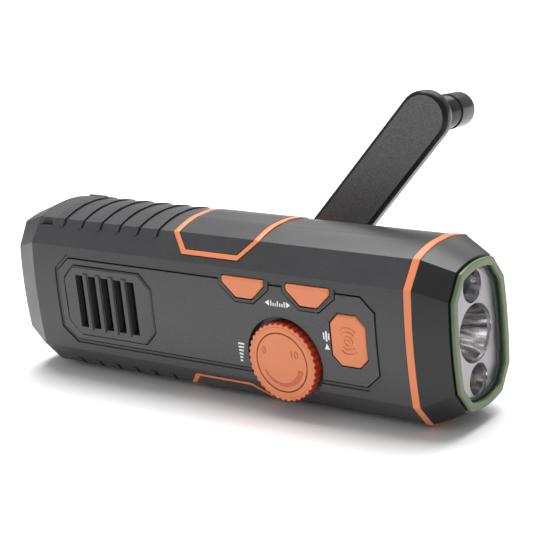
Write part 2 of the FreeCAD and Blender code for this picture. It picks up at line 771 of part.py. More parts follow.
# Screw posts: three places in line from the tail to the neck, the waist and neck in pairs.
POSTS = [
    ("tail", TAIL + " + tail_post_inset", "0"),
    ("waist_up", "-waist_post_x", "waist_post_z"), ("waist_down", "-waist_post_x", "-waist_post_z"),
    ("neck_up", "neck_post_x", "neck_post_z"), ("neck_down", "neck_post_x", "-neck_post_z"),
]
front_posts, back_posts, screw_bores, screw_solids = [], [], [], []
SCREW_SEAT = "(face_half - screw_sink)"
for name, x, z in POSTS:
    front_posts.append(rod("front_post_" + name, "y", (x, "-" + INNER_FACE, z), "post_radius",
                           INNER_FACE + " - seam_offset"))
    back_posts.append(rod("back_post_" + name, "y", (x, SEAM, z), "post_radius", INNER_FACE + " + seam_offset"))
    bore = rod("bore_" + name, "y", (x, SCREW_SEAT + " - screw_length - free_gap", z),
               "screw_radius + running_gap", "screw_length + 2 * free_gap")
    sink = rod("sink_" + name, "y", (x, SCREW_SEAT, z), "screw_head_radius + 2 * running_gap", FAR)
    screw_bores.append(fuse("screw_bore_" + name, bore, sink))
    shank = rod("shank_" + name, "y", (x, SCREW_SEAT + " - screw_length", z), "screw_radius",
                "screw_length + screw_head / 2")
    head = rod("head_" + name, "y", (x, SCREW_SEAT, z), "screw_head_radius", "screw_head")
    slot = block("driver_" + name, (x + " - screw_head_radius / 8", SCREW_SEAT + " + screw_head / 2",
                                    z + " - screw_head_radius / 2"),
                 (x + " + screw_head_radius / 8", SCREW_SEAT + " + screw_head", z + " + screw_head_radius / 2"))
    cross = block("driver_cross_" + name, (x + " - screw_head_radius / 2", SCREW_SEAT + " + screw_head / 2",
                                           z + " - screw_head_radius / 8"),
                  (x + " + screw_head_radius / 2", SCREW_SEAT + " + screw_head",
                   z + " + screw_head_radius / 8"))
    screw_solids.append(cut("screw_" + name, fuse("screw_blank_" + name, shank, head), slot, cross))
all_bores = fuse("all_bores", *screw_bores)
place(fuse("case_screws", *screw_solids), "case_screws")

# Front shell: panel recess with a shallow border, dial well, button holes, speaker window.
border_floor = prism("border_floor", "YZ", "-2 * panel_left", "4 * panel_left", [main_section("-border_depth")])
border_zone = cut("border_zone", prism("border_prism", "XZ", PANEL_FLOOR, FAR,
                                       [panel_outline("border_width", notched=False)]), border_floor)
land_keep = [prism("land_" + key, "XZ", PANEL_FLOOR + " - panel_recess", FAR,
                   [[
                       (centre + " - (tuning_foot_half + notch_foot_margin - fit_gap)",
                        "tuning_foot - notch_drop + fit_gap"),
                       (centre + " + (tuning_foot_half + notch_foot_margin - fit_gap)",
                        "tuning_foot - notch_drop + fit_gap"),
                       (centre + " + (tuning_top_half + notch_margin - fit_gap)", "notch_shoulder"),
                       (centre + " + (tuning_top_half + notch_margin - fit_gap)",
                        "panel_half + 2 * border_width"),
                       (centre + " - (tuning_top_half + notch_margin - fit_gap)",
                        "panel_half + 2 * border_width"),
                       (centre + " - (tuning_top_half + notch_margin - fit_gap)", "notch_shoulder"),
                   ]])
             for key, centre in (("down", "tuning_down_centre"), ("up", "tuning_up_centre"))]
recess_prism = prism("recess_prism", "XZ", PANEL_FLOOR, FAR, [panel_outline("panel_gap", notched=False)])
recess = cut("recess", fuse("recess_full", border_zone, recess_prism), *land_keep)
dial_well = rod("dial_well", "y", ("dial_centre", "-" + FAR, "-dial_drop"), "dial_radius + dial_well_gap",
                FAR + " - " + DIAL_FLOOR)
dial_hole = rod("dial_hole", "y", ("dial_centre", "-" + FAR, "-dial_drop"), "dial_hub_radius + free_gap", FAR)
hole_prism = prism("hole_prism", "XZ", "0", FAR, [
    tuning_outline("tuning_down_centre", "button_gap"), tuning_outline("tuning_up_centre", "button_gap"),
    siren_outline("button_gap"), grille_outline("-grille_lip"),
])
front_cavity_posts = fuse("front_blank", front_half, *front_posts)
front_shell = cut("front_shell", front_cavity_posts, recess, dial_well, dial_hole, hole_prism, all_bores,
                  port_opening)
place(front_shell, "front_shell")

# Back shell: crank hub recess and bush seat, knob pocket, solar recess, light button hole.
bush_boss = rod("bush_boss", "y", ("hub_centre", INNER_FACE + " - bush_inset", "0"),
                "spindle_radius + 2 * bush_wall + running_gap", "bush_inset + running_gap")


def pocket_prism(name, radius, floor, top):
    """The knob pocket's outline, drawn out towards the tail by the knob's swing, between two depths."""
    bulge = "(%s) - arc_flat" % radius
    foot = "-(%s)" % radius
    loop = [(POCKET_LEFT, foot), (POCKET_X, foot), (POCKET_X, radius), (POCKET_LEFT, radius)]
    return prism(name, "XZ", "-(%s)" % top, "(%s) - (%s)" % (top, floor),
                 [(loop, {1: (radius, bulge), 3: (radius, bulge)})])


pocket_cup = pocket_prism("pocket_cup", "pocket_radius + pocket_wall", POCKET_FLOOR + " - pocket_wall",
                          INNER_FACE + " + pocket_wall")
pocket_hole = pocket_prism("pocket_hole", "pocket_radius", POCKET_FLOOR, FAR)
hub_recess = rod("hub_recess_hole", "y", ("hub_centre", HUB_FLOOR, "0"), "hub_radius + free_gap", FAR)
bush_hole = rod("bush_hole", "y", ("hub_centre", "0", "0"), "spindle_radius + bush_wall", FAR)
plate_posts = []
PLATE_CORNERS = [(x, z) for x in ("-plate_left + plate_post_inset", "plate_right - plate_post_inset")
                 for z in ("plate_half - plate_post_inset", "-plate_half + plate_post_inset")]
for i, (x, z) in enumerate(PLATE_CORNERS):
    plate_posts.append(rod("plate_post_%d" % (i + 1), "y", (x, PLATE_TOP, z), "plate_post_radius",
                           INNER_FACE + " - " + PLATE_TOP))
idler_boss = rod("idler_boss", "y", (IDLER_X, CRANK_GEAR_TOP + " + gear_clear / 2", "0"),
                 "2 * idler_shaft_radius", INNER_FACE + " - " + CRANK_GEAR_TOP + " - gear_clear / 2")
idler_bore = rod("idler_bore", "y", (IDLER_X, CRANK_GEAR_FOOT, "0"), "idler_shaft_radius",
                 INNER_FACE + " - " + CRANK_GEAR_FOOT + " + front_wall / 3")
solar_recess = block("solar_recess", ("solar_left - fit_gap", "face_half - solar_depth", "-solar_half - fit_gap"),
                     ("solar_right + fit_gap", FAR, "solar_half + fit_gap"))
light_hole = rod("light_hole", "y", ("light_centre", "0", "0"), "light_radius + button_gap", FAR)
back_blank = fuse("back_blank", back_half, *(back_posts + plate_posts + [bush_boss, idler_boss]))
back_cup = fuse("back_cup", back_blank, pocket_cup)
back_shell = cut("back_shell", back_cup, pocket_hole, hub_recess, bush_hole, idler_bore, solar_recess,
                 light_hole, all_bores, port_opening, pin_hole)
place(back_shell, "back_shell")

# ---------------------------------------------------------------- saddle inlays
inlay_layer = cut("inlay_layer", crest_body, saddle_core)
trim_zone = cut("trim_zone", prism("trim_outer", "XZ", "-" + FAR, "2 * " + FAR, [saddle_outline()]),
                prism("trim_inner", "XZ", "-" + FAR, "2 * " + FAR,
                      [saddle_outline("trim_width", "trim_foot_width", "trim_foot_draw")]))
plate_zone = prism("plate_zone", "XZ", "-" + FAR, "2 * " + FAR,
                   [saddle_outline("trim_width + inlay_gap", "trim_foot_width + inlay_gap",
                                   "trim_foot_draw + inlay_gap")])
place(common("upper_saddle_trim", inlay_layer, trim_zone), "upper_saddle_trim")
place(common("upper_saddle_plate", inlay_layer, plate_zone), "upper_saddle_plate")
place(common("lower_saddle_trim", inlay_layer, mirror("lower_trim_zone", trim_zone)), "lower_saddle_trim")
place(common("lower_saddle_plate", inlay_layer, mirror("lower_plate_zone", plate_zone)), "lower_saddle_plate")

# ---------------------------------------------------------------- head ring, bezel and torch
ring_slice = common("ring_slice", crest_body, block("ring_box", (RING_BACK, "-" + FAR, "-" + FAR),
                                                    (RING_FRONT, FAR, FAR)))
ring_bore = prism("ring_bore", "YZ", TAIL_BREAK, NOSE + " - " + TAIL_BREAK, [main_section("-ring_wall")])
place(cut("head_ring", ring_slice, ring_bore), "head_ring")

COLLAR_BACK = "(body_length / 2 - nose_taper - ring_width - collar_length)"
BEZEL_FRONT = "(body_length / 2 - glow_width)"
bezel_skin = loft("bezel_skin", [
    (RING_FRONT, main_section()),
    (BEZEL_FRONT, section(*NOSE_END, "end_face_bulge", "end_side_bulge", "glow_width / 3")),
])
COLLAR = ["face_half - front_wall + wall", *MAIN[1:]]
collar = prism("bezel_collar", "YZ", COLLAR_BACK, "collar_length + ring_width",
               [section(*COLLAR, "0", "side_bulge", "-wall - fit_gap")])
bezel_bore = loft("bezel_bore", [
    (COLLAR_BACK + " - wall", section(*COLLAR, "0", "side_bulge", "-wall - collar_wall")),
    (RING_FRONT, section(*COLLAR, "0", "side_bulge", "-wall - collar_wall")),
])
bezel_mouth = loft("bezel_mouth", [
    (RING_FRONT + " - running_gap", section(*COLLAR, "0", "side_bulge", "-wall - collar_wall")),
    (NOSE, section(*NOSE_END, "end_face_bulge", "end_side_bulge", "-bezel_wall")),
])


def nose_prism(name, start, length, grow):
    """A slab across the nose with the nose's own outline, moved outwards by grow."""
    return prism(name, "YZ", start, length,
                 [section(*NOSE_END, "end_face_bulge", "end_side_bulge", grow)])


bezel_groove = cut("bezel_groove",
                   nose_prism("bezel_groove_slab", BEZEL_FRONT + " - ring_groove", "ring_groove", "wall"),
                   nose_prism("bezel_groove_core", BEZEL_FRONT + " - wall", "2 * wall", "-groove_depth"))
place(cut("head_bezel", fuse("bezel_blank", bezel_skin, collar), bezel_bore, bezel_mouth, bezel_groove),
      "head_bezel")
glow_ring = nose_prism("glow_slab", BEZEL_FRONT, "glow_width", "0")
glow_window = nose_prism("glow_window", BEZEL_FRONT + " - glow_width", "3 * glow_width", "-glow_border")
place(cut("glow_ring", glow_ring, glow_window), "glow_ring")
place(nose_prism("lens", LENS_BACK, "lens_thickness", "-glow_border - running_gap"), "lens")
gasket_hole = nose_prism("gasket_hole", GASKET_BACK + " - wall", "2 * wall", "-glow_border - wall / 2")
place(cut("lens_gasket", nose_prism("gasket_slab", GASKET_BACK, "gasket_thickness", "-glow_border"),
          gasket_hole), "lens_gasket")

CUPS = [("main", "0", "main_cup_radius", "cup_throat", "main_cup_depth"),
        ("upper", "side_cup_spacing", "side_cup_radius", "side_cup_throat", "side_cup_depth"),
        ("lower", "-side_cup_spacing", "side_cup_radius", "side_cup_throat", "side_cup_depth")]
cup_skins, cup_holes = [], []
for name, z, radius, throat, depth in CUPS:
    foot = GASKET_BACK + " - " + depth
    cup_skins.append(cone("cup_skin_" + name, (foot, "0", z), throat + " + cup_wall", radius + " + cup_wall",
                          depth))
    cup_holes.append(cone("cup_hole_" + name, (foot + " - running_gap", "0", z), throat, radius,
                          depth + " + 2 * running_gap"))
reflector_slab = nose_prism("reflector_slab", PLATE_BACK, "reflector_plate", "-glow_border")
place(cut("reflector", fuse("reflector_blank", reflector_slab, *cup_skins), fuse("cup_space", *cup_holes)),
      "reflector")
led_board = block("led_board", (LED_BOARD_FRONT + " - led_board_thickness", "-led_board_half",
                                "axis_height - led_board_height"),
                  (LED_BOARD_FRONT, "led_board_half", "axis_height + led_board_height"))
place(led_board, "led_board", lift="axis_height - led_board_height")
main_led = block("main_led", (LED_BOARD_FRONT, "-main_led_size / 2", "-main_led_size / 2"),
                 (LED_BOARD_FRONT + " + led_height / 2", "main_led_size / 2", "main_led_size / 2"))
place(fuse("main_led_chip", main_led, rod("main_led_dome", "x", (LED_BOARD_FRONT, "0", "0"),
                                          "main_led_size / 3", "led_height")), "main_led")
side_leds = []
for name, z in (("upper", "side_cup_spacing"), ("lower", "-side_cup_spacing")):
    side_leds.append(rod("side_led_" + name, "x", (LED_BOARD_FRONT, "0", z), "side_led_radius",
                         "main_cup_depth - side_cup_depth + 2 * led_height"))
place(fuse("side_led_pair", *side_leds), "side_leds")

# ---------------------------------------------------------------- control panel and grille
panel_skin = prism("panel_skin", "YZ", "-2 * panel_left", "4 * panel_left", [main_section("-panel_set")])
panel_blank = common("panel_blank", prism("panel_prism", "XZ", PANEL_FLOOR, FAR, [panel_outline("-panel_gap")]),
                     panel_skin)
panel_holes = prism("panel_holes", "XZ", "0", FAR,
                    [siren_outline("button_gap"), grille_outline("panel_gap + fit_gap")])
panel_well = rod("panel_well", "y", ("dial_centre", "-" + FAR, "-dial_drop"), "dial_radius + dial_well_gap", FAR)
place(cut("control_panel", panel_blank, panel_holes, panel_well), "control_panel")

grille = new_body("grille_insert")
pad(grille, "grille_pad", "XZ", PANEL_FLOOR, "panel_recess + face_bulge + grille_proud", [grille_outline()])
bevel(grille, "grille_edge", "button_edge", on_plane("y", "-(face_half + face_bulge + grille_proud)"))
pocket(grille, "grille_slot", "XZ", "face_half + 2 * face_bulge", "panel_recess + 4 * face_bulge", [[
    ("grille_centre + slot_shift - 2 * slot_pitch - slot_width / 2", "-slot_half"),
    ("grille_centre + slot_shift - 2 * slot_pitch + slot_width / 2", "-slot_half"),
    ("grille_centre + slot_shift - 2 * slot_pitch + slot_width / 2", "slot_half"),
    ("grille_centre + slot_shift - 2 * slot_pitch - slot_width / 2", "slot_half"),
]])
slots = grille.newObject("PartDesign::LinearPattern", "grille_slots")
slots.Originals = [grille.Tip]
slots.Direction = (doc.getObject("grille_slot_sketch"), ["H_Axis"])
slots.Occurrences = 5
bind(slots, "Length", "4 * slot_pitch")
grille.Tip = slots
doc.recompute()
place(grille, "grille_insert")

place(prism("speaker_cloth", "XZ", SPEAKER_FRONT, "cloth_thickness", [grille_outline("-grille_lip / 2")]),
      "speaker_cloth")
SPEAKER_BACK = "(face_half - front_wall - cloth_thickness - speaker_depth)"
speaker = turned("speaker", [
    ("0", "-" + SPEAKER_BACK), ("0", "-" + SPEAKER_FRONT + " + speaker_depth / 2"),
    ("cone_radius", "-" + SPEAKER_FRONT + " + running_gap"),
    ("surround_radius", "-" + SPEAKER_FRONT), ("speaker_radius", "-" + SPEAKER_FRONT),
    ("speaker_radius", "-" + SPEAKER_FRONT + " + wall"), ("magnet_radius + wall / 2", "-" + SPEAKER_BACK),
][::-1])
place(speaker, "speaker", x="grille_centre")
place(turned("speaker_magnet", [("0", "-" + SPEAKER_BACK), ("magnet_radius", "-" + SPEAKER_BACK),
                                ("magnet_radius", "-" + SPEAKER_BACK + " + magnet_depth"),
                                ("0", "-" + SPEAKER_BACK + " + magnet_depth")]),
      "speaker_magnet", x="grille_centre")


def front_button(label, shape):
    """A push button: a bevelled cap through the wall and a flange behind it."""
    button = new_body(label)
    pad(button, label + "_cap", "XZ", FLANGE_BACK, CAP_FRONT + " - " + FLANGE_BACK, [shape("0")])
    bevel(button, label + "_edge", "button_edge", on_plane("y", "-" + CAP_FRONT))
    pad(button, label + "_flange", "XZ", FLANGE_BACK, "button_flange", [shape("button_flange_lip")])
    return place(button, label)


front_button("tuning_down_button", lambda grow: tuning_outline("tuning_down_centre", grow))
front_button("tuning_up_button", lambda grow: tuning_outline("tuning_up_centre", grow))
front_button("siren_button", siren_outline)

# ---------------------------------------------------------------- volume dial
dial = new_body("volume_dial")
ORIGIN = ("0", "0")
pad(dial, "dial_disc", "XZ", DIAL_BACK, DIAL_FRONT + " - " + DIAL_BACK, circles=[(ORIGIN, "dial_radius")])
bevel(dial, "dial_edge", "button_edge", on_plane("y", "-" + DIAL_FRONT))
pad(dial, "dial_hub", "XZ", DIAL_BACK + " - dial_hub_length", "dial_hub_length",
    circles=[(ORIGIN, "dial_hub_radius")])
pocket(dial, "dial_bore", "XZ", DIAL_BACK + " + dial_floor_gap", "2 * dial_hub_length",
       circles=[(ORIGIN, "shaft_radius")])
pocket(dial, "dial_notch", "XZ", DIAL_FRONT, "2 * " + DIAL_FRONT,
       circles=[(("dial_radius + dial_notch_radius / 3", "0"), "dial_notch_radius")])
notches = dial.newObject("PartDesign::PolarPattern", "dial_grip")
notches.Originals = [doc.getObject("dial_notch")]
notches.Axis = (doc.getObject("dial_disc_sketch"), ["N_Axis"])
notches.Angle = 360.0
bind(notches, "Occurrences", "dial_notches")
dial.Tip = notches
doc.recompute()
place(dial, "volume_dial", x="dial_centre", z="-dial_drop")
place(rod("dial_shaft", "y", ("dial_centre", "-" + DIAL_BACK + " - dial_floor_gap", "-dial_drop"),
          "shaft_radius", DIAL_BACK + " + dial_floor_gap - " + BOARD_BACK + " + pot_depth / 2"),
      "dial_shaft", z="-dial_drop")
pot_can = rod("pot_can", "y", ("dial_centre", "-" + BOARD_BACK, "-dial_drop"), "pot_radius", "pot_depth")
pot_bore = rod("pot_bore", "y", ("dial_centre", "-" + BOARD_BACK + " - running_gap", "-dial_drop"),
               "shaft_radius + running_gap", "pot_depth / 2 + 2 * running_gap")
place(cut("potentiometer", pot_can, pot_bore), "potentiometer")

# ---------------------------------------------------------------- electronics
board_slab = block("board_slab", ("board_left", "-" + BOARD_FRONT, "-board_half"),
                   ("board_right", "-" + BOARD_BACK, "board_half"))
board_hole = rod("board_hole", "y", ("dial_centre", "-" + FAR, "-dial_drop"), "shaft_radius + free_gap", FAR)
place(cut("main_board", board_slab, board_hole), "main_board")
switches = []
TUNING_MIDDLE = "(tuning_foot + tuning_top) / 2"
for name, x, z in (("down", "tuning_down_centre", TUNING_MIDDLE), ("up", "tuning_up_centre", TUNING_MIDDLE),
                   ("siren", "siren_centre", "0")):
    base = block("switch_base_" + name, (x + " - switch_size / 2", "-" + BOARD_FRONT + " - switch_height / 2",
                                         z + " - switch_size / 2"),
                 (x + " + switch_size / 2", "-" + BOARD_FRONT, z + " + switch_size / 2"))
    tip = rod("switch_tip_" + name, "y", (x, "-" + BOARD_FRONT + " - switch_height", z), "switch_size / 4",
              "switch_height")
    switches.append(fuse("switch_" + name, base, tip))
place(fuse("tact_switches", *switches), "tact_switches")
BATTERY_BACK = PLATE_FOOT + " - battery_clear"
battery = block("battery", (BATTERY_LEFT, BATTERY_BACK + " - battery_thickness", "-battery_height / 2"),
                ("battery_right", BATTERY_BACK, "battery_height / 2"))
place(battery, "battery", z="-battery_height / 2")
FERRITE_Y = BATTERY_BACK + " - battery_thickness / 2"
place(rod("ferrite_rod", "x", (BATTERY_LEFT, FERRITE_Y, "-ferrite_drop"), "ferrite_radius",
          "battery_right - " + BATTERY_LEFT), "ferrite_rod", z="-ferrite_drop")
coil = rod("coil_body", "x", ("battery_right - coil_length", FERRITE_Y, "-ferrite_drop"), "coil_radius",
           "coil_length")
coil_bore = rod("coil_bore", "x", (BATTERY_LEFT, FERRITE_Y, "-ferrite_drop"), "ferrite_radius",
                "battery_right + wall - " + BATTERY_LEFT)
place(cut("antenna_coil", coil, coil_bore), "antenna_coil")

# ---------------------------------------------------------------- crank: hub, arm and knob
def across(name, radius, half):
    """A cylinder along the hinge line of the crank, centred on the arm."""
    return rod(name, "z", ("hinge_offset", ARM_MID, "-(%s)" % half), radius, "2 * (%s)" % half)


EAR_OUT = "(arm_root_half + free_gap + ear_thickness)"
hub_disc = rod("hub_disc", "y", ("0", HUB_BACK, "0"), "hub_radius", HUB_FRONT + " - " + HUB_BACK)
spindle = rod("hub_spindle", "y", ("0", PLATE_FOOT, "0"), "spindle_radius", HUB_FRONT + " - " + PLATE_FOOT)
ear_block = block("ear_block", ("hinge_offset - hinge_radius", "face_half + face_bulge + free_gap", "-" + EAR_OUT),
                  ("hinge_offset + hinge_radius", ARM_MID, EAR_OUT))
ear_round = across("ear_round", "hinge_radius", EAR_OUT)
ear_gap = block("ear_gap", ("hinge_offset - 2 * hinge_radius", HUB_FRONT, "-arm_root_half - free_gap"),
                ("hinge_offset + 2 * hinge_radius", FAR, "arm_root_half + free_gap"))
hub = cut("crank_hub", fuse("hub_blank", hub_disc, spindle, ear_block, ear_round), ear_gap,
          across("hub_pin_hole", "hinge_pin_radius", EAR_OUT + " + wall"))
hinge_pin = new_body("hinge_pin")
pad(hinge_pin, "hinge_pin_rod", "XY", "0", "2 * " + EAR_OUT,
    circles=[(("hinge_offset", ARM_MID), "hinge_pin_radius")], both=True)

arm = new_body("crank_arm")
pad(arm, "arm_blade", "XZ", "-" + ARM_BACK, "arm_thickness", [([
    ("hinge_offset", "-arm_root_half"), ("arm_shoulder", "-arm_root_half"),
    ("arm_shoulder + arm_half - arm_root_half", "-arm_half"), ("arm_reach", "-arm_half"),
    ("arm_reach", "arm_half"), ("arm_shoulder + arm_half - arm_root_half", "arm_half"),
    ("arm_shoulder", "arm_root_half"), ("hinge_offset", "arm_root_half"),
], {3: ("arm_half", "arm_half - arc_flat")})])
bevel(arm, "arm_edge", "arm_edge",
      lambda edge: on_plane("y", ARM_FRONT)(edge) and edge.CenterOfMass.x > size("arm_shoulder"))
pad(arm, "arm_barrel", "XY", "0", "2 * arm_root_half",
    circles=[(("hinge_offset", ARM_MID), "arm_thickness / 2")], both=True)
pocket(arm, "arm_hinge_hole", "XY", "0", "4 * arm_root_half",
       circles=[(("hinge_offset", ARM_MID), "hinge_pin_radius + running_gap")], both=True)
pocket(arm, "arm_knob_hole", "XZ", "-" + ARM_BACK, "arm_thickness / 2",
       circles=[(("arm_reach", "0"), "knob_pin_radius")])

knob = turned("crank_knob", [
    ("knob_pin_radius + running_gap", KNOB_FRONT), ("knob_neck_radius", KNOB_FRONT),
    ("knob_neck_radius", KNOB_FRONT + " + knob_neck"),
    ("knob_neck_radius - free_gap", KNOB_FRONT + " + knob_neck + free_gap / 2"),
    ("knob_radius - free_gap", KNOB_FRONT + " + knob_neck + free_gap"),
    ("knob_radius", KNOB_FRONT + " + knob_neck + 3 * free_gap"),
    ("knob_radius", KNOB_BACK + " - knob_round"), ("knob_radius - knob_round", KNOB_BACK),
    ("knob_pin_head + free_gap", KNOB_BACK), ("knob_pin_head + free_gap", KNOB_BACK + " - 2 * knob_cap_depth"),
    ("knob_pin_radius + running_gap", KNOB_BACK + " - 2 * knob_cap_depth"),
])
knob_cap = turned("knob_cap", [
    ("0", KNOB_BACK + " - knob_cap_depth"), ("knob_pin_head + free_gap", KNOB_BACK + " - knob_cap_depth"),
    ("knob_pin_head + free_gap", KNOB_BACK), ("0", KNOB_BACK),
])
knob_pin = turned("knob_pin", [
    ("0", ARM_BACK + " - arm_thickness / 2"), ("knob_pin_radius", ARM_BACK + " - arm_thickness / 2"),
    ("knob_pin_radius", KNOB_BACK + " - 2 * knob_cap_depth + running_gap"),
    ("knob_pin_head", KNOB_BACK + " - 2 * knob_cap_depth + running_gap"),
    ("knob_pin_head", KNOB_BACK + " - knob_cap_depth - free_gap"),
    ("0", KNOB_BACK + " - knob_cap_depth - free_gap"),
])


def on_crank(item, label, lean="0", along="0"):
    """Sets a piece made along +X at the crank's angle, leaned back about the hinge line."""
    step = "create(<<placement>>; create(<<vector>>; %s; %s; %s); create(<<rotation>>; create(<<vector>>; %s); %s))"
    about_hub = step % ("hub_centre", "0", "axis_height", "0; -1; 0", "crank_angle")
    about_hinge = step % ("hinge_offset", ARM_MID, "0", "0; 0; 1", lean)
    outwards = step % (along + " - hinge_offset", "-" + ARM_MID, "0", "0; 0; 1", "0")
    bind(item, "Placement", " * ".join((about_hub, about_hinge, outwards)))
    item.Label = label
    nodes[label] = item


on_crank(hub, "crank_hub")
on_crank(hinge_pin, "hinge_pin")
on_crank(arm, "crank_arm", "crank_lean")
for item, label in ((knob, "crank_knob"), (knob_cap, "knob_cap"), (knob_pin, "knob_pin")):
    on_crank(item, label, "crank_lean", "arm_reach")
place(turned("hub_bush", [
    ("spindle_radius + running_gap", INNER_FACE + " - bush_inset"),
    ("spindle_radius + bush_wall", INNER_FACE + " - bush_inset"),
    ("spindle_radius + bush_wall", HUB_FLOOR), ("spindle_radius + running_gap", HUB_FLOOR),
]), "hub_bush", x="hub_centre")


# ---------------------------------------------------------------- gear train
PRESSURE_ANGLE = math.radians(20)
ADDENDUM, DEDENDUM = 0.8, 1.15  # tooth height over and under the pitch line, in modules
TOOTH_SLIM = 0.05  # thinning of each flank for backlash, in millimetres
FLANK_START = 1.0005  # the flank starts just outside the base circle
FLANK_STEPS = 4


def gear_face(teeth, module, phase, depth):
    """One involute gear outline in the XZ plane at y = depth, turned by phase of a tooth."""
    pitch = module * teeth / 2
    base = pitch * math.cos(PRESSURE_ANGLE)
    tip, root = pitch + ADDENDUM * module, pitch - DEDENDUM * module
    slim = TOOTH_SLIM / pitch

    def involute(radius):
        angle = math.acos(min(1.0, base / radius))
        return math.tan(angle) - angle

    start = max(root, base * FLANK_START)
    flank = [start + (tip - start) * i / FLANK_STEPS for i in range(FLANK_STEPS + 1)]
    half = [math.pi / (2 * teeth) - slim + involute(pitch) - involute(r) for r in flank]
    profile = [(root, half[0])] + list(zip(flank, half))
    points = []
    for tooth in range(teeth):
        middle = 2 * math.pi * (tooth + phase) / teeth
        for radius, offset in profile:
            points.append((radius, middle - offset))
        for radius, offset in reversed(profile):
            points.append((radius, middle + offset))
    corners = [Vector(r * math.cos(a), depth, r * math.sin(a)) for r, a in points]
    return Part.Face(Part.makePolygon(corners + corners[:1]))


def gear_solid(teeth, module, phase, foot, top):
    face = gear_face(int(size(teeth)), size(module), phase, size(foot))
    return face.extrude(Vector(0, size(top) - size(foot), 0))


def shaft_solid(radius, foot, top):
    return Part.makeCylinder(size(radius), size(top) - size(foot), Vector(0, size(foot), 0), Vector(0, 1, 0))


def gear_node(label, shape, x):
    item = doc.addObject("Part::Feature", label)
    item.Shape = shape
    return place(item, label, x=x)


crank_gear = gear_solid("crank_teeth", "first_module", 0, CRANK_GEAR_FOOT, CRANK_GEAR_TOP)
crank_gear = crank_gear.cut(shaft_solid("spindle_radius", PLATE_FOOT, HUB_FRONT))
gear_node("crank_gear", crank_gear, "hub_centre")
idler = gear_solid("idler_wheel_teeth", "second_module", 0, WHEEL_FOOT, WHEEL_TOP)
idler = idler.fuse(gear_solid("idler_pinion_teeth", "first_module", 0.5, WHEEL_TOP, CRANK_GEAR_TOP))
idler = idler.cut(shaft_solid("idler_shaft_radius + running_gap", PLATE_FOOT, HUB_FRONT))
gear_node("idler_gear", idler, IDLER_X)
rotor = gear_solid("generator_teeth", "second_module", 0.5, WHEEL_FOOT, WHEEL_TOP)
rotor = rotor.fuse(shaft_solid("generator_shaft_radius", PLATE_FOOT + " - generator_length / 2", WHEEL_TOP))
gear_node("generator_pinion", rotor, GENERATOR_X)
place(rod("idler_shaft", "y", (IDLER_X, PLATE_TOP, "0"), "idler_shaft_radius",
          INNER_FACE + " - " + PLATE_TOP + " + front_wall / 3"), "idler_shaft")
plate_slab = block("plate_slab", ("-plate_left", PLATE_FOOT, "-plate_half"),
                   ("plate_right", PLATE_TOP, "plate_half"))
plate_holes = [rod("plate_spindle_hole", "y", ("hub_centre", "0", "0"), "spindle_radius + free_gap", FAR),
               rod("plate_rotor_hole", "y", (GENERATOR_X, "0", "0"), "generator_shaft_radius + free_gap", FAR)]
place(cut("gearbox_plate", plate_slab, *plate_holes), "gearbox_plate")
generator_can = rod("generator_can", "y", (GENERATOR_X, PLATE_FOOT + " - generator_length", "0"),
                    "generator_radius", "generator_length")
generator_bore = rod("generator_bore", "y", (GENERATOR_X, PLATE_FOOT + " - generator_length / 2 - free_gap",
                                             "0"), "generator_shaft_radius + running_gap", FAR)
place(cut("generator", generator_can, generator_bore), "generator")

# ---------------------------------------------------------------- ports and their cover
COVER_GAP = "(2 * running_gap)"
cover_slab = block("cover_slab", ("-port_left + " + COVER_GAP, "-side_half - 3 * port_cover_depth",
                                  "port_cover_foot"),
                   ("-port_left + port_width - " + COVER_GAP, "port_hinge", "axis_height"))
cover_core = prism("cover_core", "YZ", TAIL_BREAK, "2 * port_left - 2 * " + PORT_MIDDLE + " + port_width",
                   [main_section("-port_cover_depth")])
cover_skin = prism("cover_skin", "YZ", TAIL_BREAK, "2 * port_left - 2 * " + PORT_MIDDLE + " + port_width",
                   [main_section()])
cover_shell = common("cover_shell", cut("cover_arc", cover_slab, cover_core), cover_skin)
cover_barrel = rod("cover_barrel", "x", ("-port_left + " + COVER_GAP, "port_hinge", PORT_HINGE_Z),
                   "port_barrel_radius", "port_width - 2 * " + COVER_GAP)
cover_bore = rod("cover_bore", "x", ("-port_left", "port_hinge", PORT_HINGE_Z), "port_pin_radius + running_gap",
                 "port_width")
scoop = rod("cover_scoop", "z", ("-" + PORT_MIDDLE, "-side_half - scoop_radius", "rib_foot - wall"),
            "scoop_radius", "4 * wall")
place(cut("port_cover", fuse("cover_blank", cover_shell, cover_barrel), cover_bore, scoop), "port_cover")
place(rod("port_cover_pin", "x", ("-port_left - wall", "port_hinge", PORT_HINGE_Z), "port_pin_radius",
          "port_width + 2 * wall"), "port_cover_pin", z=PORT_HINGE_Z)


def socket(label, length, width, centre, height):
    """A sheet metal port shell with its mouth just under the cover."""
    mouth = "(side_height - port_cover_depth - 2 * free_gap)"
    low = ("-" + PORT_MIDDLE + " - (%s) / 2" % width, "(%s) - (%s) / 2" % (centre, length),
           mouth + " - (%s)" % height)
    high = ("-" + PORT_MIDDLE + " + (%s) / 2" % width, "(%s) + (%s) / 2" % (centre, length), mouth)
    inner_low = (low[0] + " + socket_wall", low[1] + " + socket_wall", low[2] + " + wall")
    inner_high = (high[0] + " - socket_wall", high[1] + " - socket_wall", mouth + " + wall")
    tongue = block(label + "_tongue", ("-" + PORT_MIDDLE + " - (%s) / 8" % width, inner_low[1] + " + wall / 2",
                                       low[2] + " + wall / 2"),
                   ("-" + PORT_MIDDLE + " + (%s) / 8" % width, inner_high[1] + " - wall / 2", mouth + " - wall"))
    hollow_box = cut(label + "_case", block(label + "_block", low, high),
                     block(label + "_inside", inner_low, inner_high))
    return place(fuse(label, hollow_box, tongue), label)


